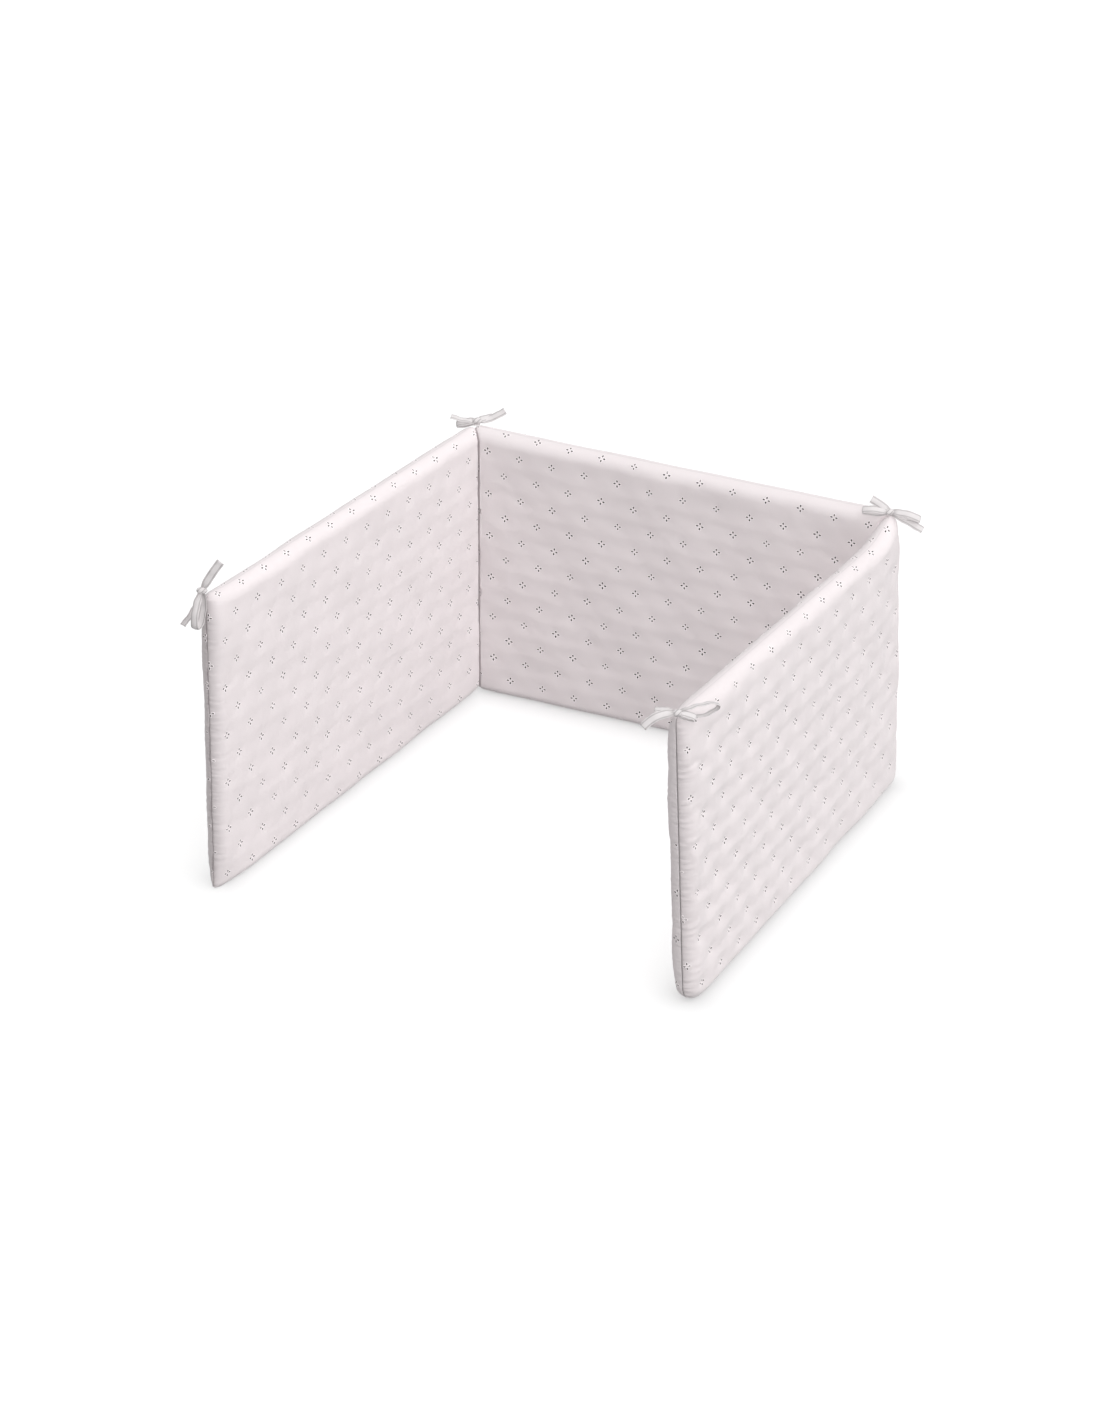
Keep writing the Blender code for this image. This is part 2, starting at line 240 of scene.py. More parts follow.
PADS = {
    "panel_left": PadShape(
        start=PadEnd("back_left", True, 0.0170, 0.0140, 0.001, 1.0),
        end=PadEnd("front_left", False, 0.0180, 0.0150, 0.005, 3.0),
        start_bottom=PadCorner(0.018, 0.018, 0.10),
        end_bottom=PadCorner(0.014, 0.005, 0.35),
        start_top=PadCorner(0.009, 0.009, 0.10),
        end_top=PadCorner(0.009, 0.009, 0.25),
        phase=0.4,
    ),
    "panel_back": PadShape(
        start=PadEnd("back_left", True, 0.0170, 0.0140, 0.001, 1.0),
        end=PadEnd("back_right", True, 0.0170, 0.0180, 0.002, 1.0),
        start_bottom=PadCorner(0.018, 0.018, 0.10),
        end_bottom=PadCorner(0.022, 0.022, 0.20),
        start_top=PadCorner(0.009, 0.009, 0.10),
        end_top=PadCorner(0.012, 0.012, 0.20),
        phase=1.7,
    ),
    "panel_right": PadShape(
        start=PadEnd("back_right", True, 0.0200, 0.0180, 0.0225, 1.0),
        end=PadEnd("front_right", False, 0.0160, 0.0085, 0.001, 1.0),
        start_bottom=PadCorner(0.020, 0.020, 0.10),
        end_bottom=PadCorner(0.028, 0.027, 0.30),
        start_top=PadCorner(0.012, 0.012, 0.30),
        end_top=PadCorner(0.014, 0.014, 0.30),
        phase=2.9,
    ),
}

# The filling's long low waves: height, length along, length up and start.
FILLING_WAVES = (
    (0.0006, 0.150, 0.260, 0.0),
    (0.0005, -0.115, 0.170, 1.9),
    (0.0004, 0.230, -0.095, 4.1),
)
INNER_FACE_PHASE = 5.0

LEFT_ROWS = EyeletRows(0.5, 0.0475, 0.0318, 0.0001, 0.0092, 0.0)
BACK_ROWS = EyeletRows(-2.4, 0.0475, 0.0312, -0.0081, 0.0075, -0.0675)
RIGHT_ROWS = EyeletRows(-1.8, 0.0493, 0.0329, 0.0155, -0.0015, 0.0262)
HALF_PITCH = 0.0235

LOOKS = {
    "panel_left": PadLook(
        rows={Face.INNER: LEFT_ROWS, Face.OUTER: LEFT_ROWS.moved(HALF_PITCH, 0.004)},
        relief={
            Face.INNER: Relief(0.52, 0.52, 0.0005, 0.0008, 0.0002, 0.0002, 0.48),
            Face.OUTER: Relief(0.80, 0.80, 0.0005, 0.0008, 0.0002, 0.0002, 0.52),
        },
        hole_shade={Face.INNER: 0.60, Face.OUTER: 0.60},
        fold_tilt=-8.0,
        seam_wander=0.0009,
        seam_width=0.0013,
        contact_shadow=0.45,
        seed=11,
    ),
    "panel_back": PadLook(
        rows={Face.INNER: BACK_ROWS, Face.OUTER: BACK_ROWS.moved(HALF_PITCH, -0.003)},
        relief={
            Face.INNER: Relief(0.55, 0.52, 0.0005, 0.0005, 0.0002, 0.0002),
            Face.OUTER: Relief(0.80, 0.80, 0.0005, 0.0005, 0.0002, 0.0002),
        },
        hole_shade={Face.INNER: 0.80, Face.OUTER: 0.60},
        fold_tilt=0.0,
        seam_wander=0.0,
        seam_width=0.0007,
        contact_shadow=0.60,
        seed=23,
    ),
    "panel_right": PadLook(
        rows={Face.OUTER: RIGHT_ROWS, Face.INNER: RIGHT_ROWS.moved(HALF_PITCH, 0.002)},
        relief={
            Face.OUTER: Relief(0.85, 1.35, 0.0004, 0.0013, 0.0002, 0.0002, 0.34),
            Face.INNER: Relief(0.80, 0.80, 0.0005, 0.0008, 0.0002, 0.0002),
        },
        hole_shade={Face.INNER: 0.60, Face.OUTER: 0.75},
        fold_tilt=14.0,
        seam_wander=0.0002,
        seam_width=0.0007,
        contact_shadow=0.60,
        seed=37,
    ),
}


@dataclass(frozen=True)
class Strand:
    """One tail or loop of a tie, in millimetres from its knot.

    right, near and up place its far end. arch lifts its middle, opening is the height of a loop,
    and roll turns the ribbon about the strand.
    """

    kind: StrandKind
    right: float
    near: float
    up: float
    arch: float
    opening: float
    roll: float


@dataclass(frozen=True)
class TieSeat:
    """Where a knot's centre sits: right, near and up from its upright's top, in millimetres."""

    upright: str
    offset: tuple[float, float, float]


TAIL, LOOP = StrandKind.TAIL, StrandKind.LOOP

TIES = {
    "tie_front_left": (
        TieSeat("front_left", (-4.0, 3.0, 6.5)),
        (
            Strand(TAIL, 24, -2, 38, 1.0, 0, -70),
            Strand(TAIL, -25, 8, -43, -3.0, 0, -70),
            Strand(LOOP, -7, 18, -43, 0.0, 11.0, 174),
        ),
    ),
    "tie_back_left": (
        TieSeat("back_left", (4.0, -1.0, 3.9)),
        (
            Strand(TAIL, -34, -5, 4.5, -1.5, 0, 5),
            Strand(TAIL, 36, -6, 12, -3.0, 0, -32),
            Strand(LOOP, -27, -4, -7, 0.0, 4.0, 37),
            Strand(LOOP, 22, -9, 1, 0.0, 3.0, -25),
            Strand(TAIL, -1.0, 0.5, -6.5, 0.0, 0, 90),
        ),
    ),
    "tie_back_right": (
        TieSeat("back_right", (-5.0, 8.0, 1.8)),
        (
            Strand(TAIL, -23, -9, 14, 1.0, 0, 50),
            Strand(TAIL, 41, 10, -20, 1.0, 0, -30),
            Strand(LOOP, 37, 9, -6, 1.0, 5.5, -35),
            Strand(LOOP, -34, -4, 1, 0.0, 5.0, 30),
        ),
    ),
    "tie_front_right": (
        TieSeat("front_right", (2.5, 3.0, 2.7)),
        (
            Strand(TAIL, -26, -6, 2, 2.0, 0, 0),
            Strand(TAIL, -40, 10, -13, 6.5, 0, 50),
            Strand(LOOP, 48, -20, -1, -2.0, 8.5, 12),
            Strand(LOOP, 20, 3, -5, 0.0, 4.0, -20),
        ),
    ),
}


# ---------------------------------------------------------------- small helpers
def unit(vector: np.ndarray) -> np.ndarray:
    """The vector, or each vector of an array, at length 1."""
    return vector / np.maximum(np.linalg.norm(vector, axis=-1, keepdims=True), 1e-12)


def bell(share: np.ndarray) -> np.ndarray:
    """1 at 0 and falling to both sides: exp(-share^2)."""
    return np.exp(-(share**2))


def ease(share: np.ndarray) -> np.ndarray:
    """From 0 to 1 with level ends: share^2 * (3 - 2 share)."""
    return share * share * (3.0 - 2.0 * share)


def blunt_rise(distance: np.ndarray, reach: float) -> np.ndarray:
    """Share of full thickness at a distance from a seam: (1 - (1 - d/reach)^n)^(1/n)."""
    share = np.clip(distance / reach, 0.0, 1.0)
    return (1.0 - (1.0 - share) ** MEASURE.bluntness) ** (1.0 / MEASURE.bluntness)


def grid_normals(points: np.ndarray) -> np.ndarray:
    """Unit normals of a grid of points: the cross product of its two directions."""
    return unit(np.cross(np.gradient(points, axis=0), np.gradient(points, axis=1)))


def grid_quads(index: np.ndarray) -> np.ndarray:
    """The quads between the neighbours of a grid of vertex numbers."""
    corners = (index[:-1, :-1], index[1:, :-1], index[1:, 1:], index[:-1, 1:])
    return np.stack(corners, axis=-1).reshape(-1, 4)


def polygon_mesh(
    name: str, vertices: np.ndarray, faces: list[tuple[np.ndarray, int]]
) -> bpy.types.Mesh:
    """Make a smooth mesh from arrays.

    Args:
        name: The mesh's name.
        vertices: One row of x, y and z for each vertex.
        faces: Arrays of polygons that all have the same number of corners, each with the number
            of its material slot.

    Returns:
        The mesh.
    """
    corners = np.concatenate([polygons.ravel() for polygons, _ in faces]).astype(np.int32)
    sizes = np.concatenate([np.full(len(polygons), polygons.shape[1]) for polygons, _ in faces])
    slots = np.concatenate([np.full(len(polygons), slot) for polygons, slot in faces])
    starts = np.concatenate([[0], np.cumsum(sizes)[:-1]])
    mesh = bpy.data.meshes.new(name)
    mesh.vertices.add(len(vertices))
    mesh.vertices.foreach_set("co", vertices.astype(np.float32).ravel())
    mesh.loops.add(len(corners))
    mesh.loops.foreach_set("vertex_index", corners)
    mesh.polygons.add(len(sizes))
    mesh.polygons.foreach_set("loop_start", starts.astype(np.int32))
    mesh.polygons.foreach_set("material_index", slots.astype(np.int32))
    mesh.update(calc_edges=True)
    mesh.shade_smooth()
    return mesh


def add_cloth_map(mesh: bpy.types.Mesh, place: np.ndarray) -> None:
    """Give a mesh a UV map in metres of cloth.

    Args:
        mesh: The mesh.
        place: Each vertex's two distances on the flat cloth.
    """
    corners = np.empty(len(mesh.loops), dtype=np.int32)
    mesh.loops.foreach_get("vertex_index", corners)
    layer = mesh.uv_layers.new(name="cloth")
    layer.data.foreach_set("uv", place[corners].astype(np.float32).ravel())


def add_mark(mesh: bpy.types.Mesh, name: str, values: np.ndarray) -> None:
    """Store one number for each vertex under a name that the materials read."""
    mark = mesh.attributes.new(name, "FLOAT", "POINT")
    mark.data.foreach_set("value", values.astype(np.float32).ravel())


def place_piece(name: str, mesh: bpy.types.Mesh) -> bpy.types.Object:
    """Link a mesh as a piece of the object.

    Args:
        name: The piece's name.
        mesh: Its mesh, already in place.

    Returns:
        The piece, riding on the one body.
    """
    piece = bpy.data.objects.new(name, mesh)
    bpy.context.scene.collection.objects.link(piece)
    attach(piece, "root")
    LOG.info("%s: %d vertices, %d faces", name, len(mesh.vertices), len(mesh.polygons))
    return piece


# ---------------------------------------------------------------- the plan
@dataclass
class BumperPlan:
    """The four upright seams, and where the frame has them."""

    lines: dict[str, tuple[np.ndarray, np.ndarray]] = field(default_factory=dict)
    shift: np.ndarray = field(default_factory=lambda: np.zeros(3))

    def __post_init__(self) -> None:
        """Place the uprights: each panel is one length long, the side panels are splayed."""
        half = MEASURE.length / 2
        corners = {"back_left": (-half, 0.0), "back_right": (half, 0.0)}
        for name, side, splay in (
            ("front_left", -1.0, MEASURE.splay_left),
            ("front_right", 1.0, MEASURE.splay_right),
        ):
            turn = math.radians(splay)
            out = MEASURE.length * math.sin(turn)
            corners[name] = (side * (half + out), -MEASURE.length * math.cos(turn))
        for name, (x, y) in corners.items():
            upright = UPRIGHTS[name]
            bottom = np.array([x + upright.shift[0], y + upright.shift[1], 0.0])
            top = bottom + np.array([upright.lean[0], upright.lean[1], upright.height])
            self.lines[name] = (bottom, top)

    def centre(self) -> np.ndarray:
        """Mean foot of the four uprights."""
        return sum(bottom for bottom, _ in self.lines.values()) / len(self.lines)

    def corner_plane(self, corner: str) -> tuple[np.ndarray, np.ndarray]:
        """Find the plane that halves a sewn corner.

        Args:
            corner: Name of the upright there.

        Returns:
            A point on the plane, and its normal towards the back panel.
        """
        bottom, top = self.lines[corner]
        left = corner == "back_left"
        side = sum(self.lines["front_left" if left else "front_right"])
        other = sum(self.lines["back_right" if left else "back_left"])
        along_side = unit(side - bottom - top)
        along_back = unit(other - bottom - top)
        normal = unit(np.cross(unit(along_side + along_back), unit(top - bottom)))
        return (bottom + top) / 2, normal if normal @ along_back > 0 else -normal

    def settle(self, pads: "list[PaddedPanel]") -> None:
        """Find how far the frame lies from the plan, by the mean of the panels' boxes in both."""
        gaps = []
        for pad in pads:
            points = np.concatenate([pad.base(face).reshape(-1, 3) for face in Face])
            low, high = (np.array(corner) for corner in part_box(pad.name))
            gaps.append((points.min(axis=0) - low + points.max(axis=0) - high) / 2)
        self.shift = np.mean(gaps, axis=0) * ON_PLAN


# ---------------------------------------------------------------- cloth over a rounded edge
@dataclass(frozen=True)
class ClothRuler:
    """Distances on one cloth across a pad, from seam to seam.

    Over a rounded edge the cloth is longer than the pad is wide. A distance on the cloth is
    counted so that it equals the plain distance wherever the face is flat.
    """

    length: float
    start_reach: float
    end_reach: float
    steps: int = 500

    def edge(self, reach: float) -> tuple[np.ndarray, np.ndarray]:
        """Plain distance and length of cloth from a seam, up to its reach."""
        distance = reach * np.linspace(0.0, 1.0, self.steps) ** 2
        rise = MEASURE.thickness / 2 * blunt_rise(distance, reach)
        pieces = np.hypot(np.diff(distance), np.diff(rise))
        return distance, np.concatenate([[0.0], np.cumsum(pieces)])

    def table(self) -> tuple[np.ndarray, np.ndarray]:
        """Matching plain and cloth distances across the whole pad."""
        plain_start, cloth_start = self.edge(self.start_reach)
        plain_end, cloth_end = self.edge(self.end_reach)
        plain = np.concatenate([plain_start, self.length - plain_end[::-1]])
        near = cloth_start - cloth_start[-1] + self.start_reach
        far = self.length - (cloth_end[::-1] - cloth_end[-1] + self.end_reach)
        return plain, np.concatenate([near, far])

    def to_cloth(self, plain: np.ndarray) -> np.ndarray:
        """Cloth distance at a plain distance."""
        return np.interp(plain, *self.table())

    def to_plain(self, cloth: np.ndarray) -> np.ndarray:
        """Plain distance at a cloth distance."""
        return np.interp(cloth, *self.table()[::-1])

    def limits(self) -> tuple[float, float]:
        """Cloth distances of the two seams."""
        cloth = self.table()[1]
        return float(cloth[0]), float(cloth[-1])


# ---------------------------------------------------------------- a padded panel
@dataclass
class PaddedPanel:
    """A filled pad of two cloths sewn round the edge, with its quilted relief.

    The cloth is a grid of points. rim is the cloth distance of the rows next to a seam, and
    columns and rows are how many lie between the rims. seam_waves are the wavelengths and shares
    of a free seam's wandering. puckers are the pitches, reaches and shares of the trains of
    gathers, pucker_sways the wavelengths and sizes of their sways, and pucker_swells how many
    pitches they take to come and go, and how much of them does. map_offset sets the two cloths
    apart on their map.
    """

    name: str
    plan: BumperPlan
    rim: tuple[float, ...] = (0.0, 0.0005, 0.0011, 0.0018, 0.0027, 0.0038, 0.0052)
    columns: int = 236
    rows: int = 158
    groove_depth: float = 0.0009
    groove_width: float = 0.0007
    plain_tuft: float = 0.0020
    plain_tuft_long: float = 0.0120
    plain_tuft_tall: float = 0.0075
    plain_tuft_core: float = 0.10
    shoulder: float = 0.0010
    shoulder_reach: float = 0.026
    calm_edge: float = 0.030
    calm_bottom: float = 0.050
    gather_reach: float = 0.013
    long_groove: float = 0.30
    # Share of the shade painted in the seams' grooves that the long seams get.
    long_seam_shade: float = 0.15
    long_gather: float = 0.10
    shade_reach: float = 0.010
    wave_turn: float = 9.0
    seam_waves: tuple[tuple[float, float], ...] = ((0.083, 0.5), (0.037, 0.35), (0.019, 0.25))
    puckers: tuple[tuple[float, float, float], ...] = (
        (0.0170, 0.0110, 0.8), (0.0105, 0.0070, 1.0), (0.0072, 0.0045, 0.8)
    )
    pucker_slant: float = 0.25
    pucker_sways: tuple[tuple[float, float], ...] = ((0.173, 0.9), (0.071, 0.5), (0.039, 0.3))
    pucker_share: float = 0.5
    pucker_swells: tuple[tuple[float, float], ...] = ((5.3, 0.3), (2.7, 0.2))
    pucker_least: float = 0.7
    pucker_growth: float = 0.6
    pucker_level: float = 0.64
    pucker_fade: float = 0.0025
    map_offset: float = 1.0
    fill: float = 0.75
    blown: dict[Face, np.ndarray] = field(default_factory=dict)
    grids: dict[Face, np.ndarray] = field(default_factory=dict)

    def __post_init__(self) -> None:
        """Take the pad's shape and look, and lay out its columns and rows."""
        self.shape = PADS[self.name]
        self.look = LOOKS[self.name]
        self.along = self.spread(MEASURE.length, self.columns)
        self.up = self.spread(MEASURE.height, self.rows)

    def spread(self, length: float, middle: int) -> np.ndarray:
        """Plain distances across the pad, evenly spaced on the cloth and closer at the seams."""
        ruler = ClothRuler(length, MEASURE.reach, MEASURE.reach)
        low, high = ruler.limits()
        rim = np.array(self.rim)
        inner = np.linspace(low + rim[-1], high - rim[-1], middle + 1)[1:-1]
        cloth = np.concatenate([low + rim, inner, high - rim[::-1]])
        return ruler.to_plain(cloth)

    def rulers(self, face: Face) -> tuple[ClothRuler, ClothRuler]:
        """The rulers along and up one face."""
        along = ClothRuler(MEASURE.length, self.shape.start.reach(face), self.shape.end.reach(face))
        return along, ClothRuler(MEASURE.height, MEASURE.reach, MEASURE.reach)

    # ------------------------------------------------------------ the frame's surface
    @staticmethod
    def round_corner(
        along: np.ndarray, up: np.ndarray, corner: PadCorner
    ) -> tuple[np.ndarray, np.ndarray]:
        """Pull the square corner at 0, 0 in to a quarter ellipse.

        Args:
            along: Distances from the corner along the pad.
            up: Distances from the corner up or down the pad.
            corner: The corner's radii.

        Returns:
            Both distances, moved by radius * share * (1 - sqrt(1 - other^2 / 2)).
        """
        a = np.clip(1.0 - along / corner.along, 0.0, 1.0)
        b = np.clip(1.0 - up / corner.up, 0.0, 1.0)
        pulled_along = along + corner.along * a * (1.0 - np.sqrt(1.0 - b * b / 2.0))
        return pulled_along, up + corner.up * b * (1.0 - np.sqrt(1.0 - a * a / 2.0))

    def outline(self, along: np.ndarray, up: np.ndarray) -> tuple[np.ndarray, np.ndarray]:
        """Round the four corners, and draw the top edge down between its raised corners.

        Args:
            along: Square distances along the pad.
            up: Square distances up it.

        Returns:
            The same points' distances in the pad's true outline.
        """
        length, height, shape = MEASURE.length, MEASURE.height, self.shape
        along, up = self.round_corner(along, up, shape.start_bottom)
        back, up = self.round_corner(length - along, up, shape.end_bottom)
        along, down = self.round_corner(length - back, height - up, shape.start_top)
        back, down = self.round_corner(length - along, down, shape.end_top)
        along, up = length - back, height - down
        drawn = np.zeros_like(along)
        for distance, end in ((along, shape.start), (length - along, shape.end)):
            grown = 1.0 - bell(distance / MEASURE.ear_reach)
            drawn = drawn + end.ear * grown * (1.0 - distance / length) ** end.fade
        return along, up * (1.0 - drawn / height)

    def half_thickness(self, along: np.ndarray, up: np.ndarray, face: Face) -> np.ndarray:
        """Distance of a face from the pad's middle surface.

        Args:
            along: Distances along the pad.
            up: Distances up it.
            face: Which cloth.

        Returns:
            The product of the four edges' rises and the corners' pinches, times half the
            thickness with its crown and the filling's waves.
        """
        length, height, shape = MEASURE.length, MEASURE.height, self.shape
        rise = blunt_rise(along, shape.start.reach(face))
        rise = rise * blunt_rise(length - along, shape.end.reach(face))
        rise = rise * blunt_rise(up, MEASURE.reach) * blunt_rise(height - up, MEASURE.reach)
        for corner, across, above in (
            (shape.start_bottom, along, up),
            (shape.end_bottom, length - along, up),
            (shape.start_top, along, height - up),
            (shape.end_top, length - along, height - up),
        ):
            near = np.exp(-(across**2 + above**2) / MEASURE.pinch_length**2)
            rise = rise * (1.0 - corner.pinch * near)
        crown = MEASURE.crown * np.sin(math.pi * along / length) * np.sin(math.pi * up / height)
        phase = shape.phase + (INNER_FACE_PHASE if face is Face.INNER else 0.0)
        waves = sum(
            wave * np.sin(FULL_TURN * (along / long + up / tall) + start + number * phase)
            for number, (wave, long, tall, start) in enumerate(FILLING_WAVES, start=1)
        )
        return rise * (MEASURE.thickness / 2 + crown + waves)

    def axes(self) -> tuple[np.ndarray, np.ndarray]:
        """The pad's direction from its start to its end, and outwards from the cot."""
        start_bottom, start_top = self.plan.lines[self.shape.start.upright]
        end_bottom, end_top = self.plan.lines[self.shape.end.upright]
        direction = unit(end_bottom + end_top - start_bottom - start_top)
        rising = unit(start_top + end_top - start_bottom - end_bottom)
        outward = unit(np.cross(direction, rising))
        away = (start_bottom + end_bottom) / 2 - self.plan.centre()
        return direction, outward if outward @ away > 0 else -outward

    def keep_clear(self, points: np.ndarray) -> np.ndarray:
        """Hold points above the floor and on their own side of the sewn corners.

        Args:
            points: Points in the plan's frame.

        Returns:
            The points, slid along the panel where they had crossed a corner's plane.
        """
        direction, _ = self.axes()
        for end, forward in ((self.shape.start, direction), (self.shape.end, -direction)):
            if end.sewn:
                place, normal = self.plan.corner_plane(end.upright)
                facing = normal if normal @ forward > 0 else -normal
                depth = (points - place) @ facing - MEASURE.sewn_gap / 2
                slide = np.where(depth < 0, -depth / (facing @ forward), 0.0)
                points = points + slide[..., None] * forward
        points[..., 2] = np.maximum(points[..., 2], 0.0)
        return points

    def base(self, face: Face) -> np.ndarray:
        """The frame's smooth surface on this pad's grid.

        Args:
            face: Which cloth.

        Returns:
            Points in the plan's frame, first index along the pad and second up it. Each is
            bilinear between the two uprights, plus the half thickness times the outward axis.
        """
        along, up = np.meshgrid(self.along, self.up, indexing="ij")
        flat_along, flat_up = self.outline(along, up)
        start_bottom, start_top = self.plan.lines[self.shape.start.upright]
        end_bottom, end_top = self.plan.lines[self.shape.end.upright]
        u = (flat_along / MEASURE.length)[..., None]
        v = (flat_up / MEASURE.height)[..., None]
        middle = (start_bottom * (1 - u) + end_bottom * u) * (1 - v)
        middle = middle + (start_top * (1 - u) + end_top * u) * v
        _, outward = self.axes()
        rise = self.half_thickness(along, up, face)[..., None]
        points = middle + rise * outward * face.value
        points[..., 2] = points[..., 2] - MEASURE.sink
        return self.keep_clear(points)

    # ------------------------------------------------------------ relief
    def cloth_grid(self, face: Face) -> tuple[np.ndarray, np.ndarray]:
        """Cloth distances along and up the grid of one face."""
        ruler_along, ruler_up = self.rulers(face)
        along, up = ruler_along.to_cloth(self.along), ruler_up.to_cloth(self.up)
        return np.meshgrid(along, up, indexing="ij")

    def seam_distances(self, face: Face) -> tuple[np.ndarray, ...]:
        """Cloth distances from the start, end, bottom and top seams."""
        p, q = self.cloth_grid(face)
        ruler_along, ruler_up = self.rulers(face)
        (start, end), (bottom, top) = ruler_along.limits(), ruler_up.limits()
        return p - start, end - p, q - bottom, top - q

    def flowers(self, face: Face) -> tuple[np.ndarray, np.ndarray]:
        """Cloth distances along and up of one face's eyelet flowers."""
        return self.look.rows[face].centres(MEASURE.length / 2, MEASURE.height / 2)

    def plain_tufts(self, face: Face) -> np.ndarray:
        """Args:
            face: Which cloth.

        Returns:
            The sum over the flowers of -depth * exp(-sqrt((x / a)^2 + (y / b)^2 + core)).
        """
        p, q = self.cloth_grid(face)
        turn = math.radians(self.look.rows[face].turn)
        total = np.zeros_like(p)
        for x, y in zip(*self.flowers(face)):
            out = ((p - x) * math.cos(turn) + (q - y) * math.sin(turn)) / self.plain_tuft_long
            up = ((q - y) * math.cos(turn) - (p - x) * math.sin(turn)) / self.plain_tuft_tall
            total -= self.plain_tuft * np.exp(-np.sqrt(out**2 + up**2 + self.plain_tuft_core))
        return total

    def gathers(
        self, inwards: np.ndarray, beside: np.ndarray, chance: np.random.Generator
    ) -> np.ndarray:
        """Puckers that run in from a seam.

        Args:
            inwards: Cloth distance from the seam.
            beside: Distance along the seam.
            chance: Seeded random numbers.

        Returns:
            Three trains of |sin| ridges with drawn sways, each coming and going along the seam,
            and rising and dying out over its own reach: (d / reach) * exp(1 - d / reach).
        """
        total = np.zeros_like(beside)
        for pitch, reach, share in self.puckers:
            slant = chance.uniform(-self.pucker_slant, self.pucker_slant)
            phase = beside / pitch + slant * inwards / pitch
            for wavelength, sway in self.pucker_sways:
                phase = phase + sway * np.sin(FULL_TURN * (beside / wavelength + chance.uniform()))
            comes = self.pucker_share
            for pitches, part in self.pucker_swells:
                turns = beside / (pitches * pitch) + chance.uniform()
                comes = comes + part * np.sin(FULL_TURN * turns)
            near = inwards / (reach * (self.pucker_least + self.pucker_growth * comes))
            ridges = np.abs(np.sin(math.pi * phase)) - self.pucker_level
            total += share * ridges * comes * near * np.exp(1.0 - near)
        return total * np.clip(inwards / self.pucker_fade, 0.0, 1.0)

    def relief(self, face: Face) -> np.ndarray:
        """Height of the cloth over the frame's smooth surface.

        Args:
            face: Which cloth.

        Returns:
            The blown-up cloth's unevenness, puckers and the groove of the seam, in metres.
        """
        chance = np.random.default_rng(self.look.seed + int(face.value))
        amounts = self.look.relief[face]
        p, q = self.cloth_grid(face)
        start, end, bottom, top = self.seam_distances(face)
        nearest = np.minimum(np.minimum(start, end), np.minimum(bottom, top))
        uneven = self.blown[face] if self.blown else self.plain_tufts(face)
        calm = np.clip(np.minimum(nearest / self.calm_edge, bottom / self.calm_bottom), 0.0, 1.0)
        share = amounts.share_start + (amounts.share_end - amounts.share_start) * p / MEASURE.length
        height = ease(calm) * share * uneven
        for inwards, beside, amount in (
            (start, q, amounts.pucker_start),
            (end, q, amounts.pucker_end),
            (bottom, p, amounts.pucker_bottom),
            (top, p, amounts.pucker_top),
        ):
            height = height + amount * self.gathers(inwards, beside, chance)
        shoulder = nearest / self.shoulder_reach
        height = height - self.shoulder * shoulder * np.exp(1.0 - shoulder)
        return height - self.groove_depth * self.groove(face, self.long_groove)

    def groove(self, face: Face, long_share: float) -> np.ndarray:
        """How near each point is to a seam: exp(-(d / width)^2), less along the long seams.

        Args:
            face: Which cloth.
            long_share: The long seams' share.

        Returns:
            1 in a short seam, falling to 0 beside it.
        """
        start, end, bottom, top = self.seam_distances(face)
        short, long = (
            bell(np.minimum(*pair) / self.groove_width) for pair in ((start, end), (bottom, top))
        )
        return np.maximum(short, long_share * long)

    def seam_shade_and_gathers(self, face: Face) -> dict[str, np.ndarray]:
        """The shade painted in the seams, and the strength of the gathers beside them.

        Args:
            face: Which cloth.

        Returns:
            Values for each of the material's marks. The seam mark is shade painted in the seams'
            grooves. A free end's seam wanders from one cloth to the other, so the shade painted
            along it is exp(-((side * d - wander) / width)^2), and the shade painted on the cloth
            beside it is shade * exp(-d / reach).
        """
        start, end, bottom, top = self.seam_distances(face)
        _, q = self.cloth_grid(face)
        # Painted shade in the seams' grooves, less along the long seams.
        painted_shade = self.groove(face, self.long_seam_shade)
        for inwards, pad_end in ((start, self.shape.start), (end, self.shape.end)):
            if not pad_end.sewn:
                wander = sum(
                    part * np.sin(FULL_TURN * q / wave + self.wave_turn * wave / self.shade_reach)
                    for wave, part in self.seam_waves
                )
                strays = face.value * inwards - self.look.seam_wander * wander
                line = bell(strays / self.look.seam_width)
                painted_shade = np.maximum(painted_shade * (inwards > self.rim[-1]), line)
                # Painted shade on the cloth beside a free end's seam.
                shade = self.look.relief[face].seam_shade * np.exp(-inwards / self.shade_reach)
                painted_shade = np.maximum(painted_shade, shade)
        return {
            "seam": painted_shade,
            "end_gather": np.exp(-np.minimum(start, end) / self.gather_reach),
            "long_gather": self.long_gather * np.exp(-np.minimum(bottom, top) / self.gather_reach),
        }

    def surface(self, face: Face) -> np.ndarray:
        """The cloth with its relief, before the rim is shared.

        Args:
            face: Which cloth.

        Returns:
            Points in the plan's frame: the base, lifted along its normals by the relief.
        """
        points = self.base(face)
        lift = self.outward_normals(points, face) * self.relief(face)[..., None]
        return self.keep_clear(points + lift)

    def outward_normals(self, points: np.ndarray, face: Face) -> np.ndarray:
        """Normals of a grid of one face's points, turned out of the pad."""
        normals = grid_normals(points)
        _, outward = self.axes()
        return -normals if np.mean(normals @ outward) * face.value < 0 else normals

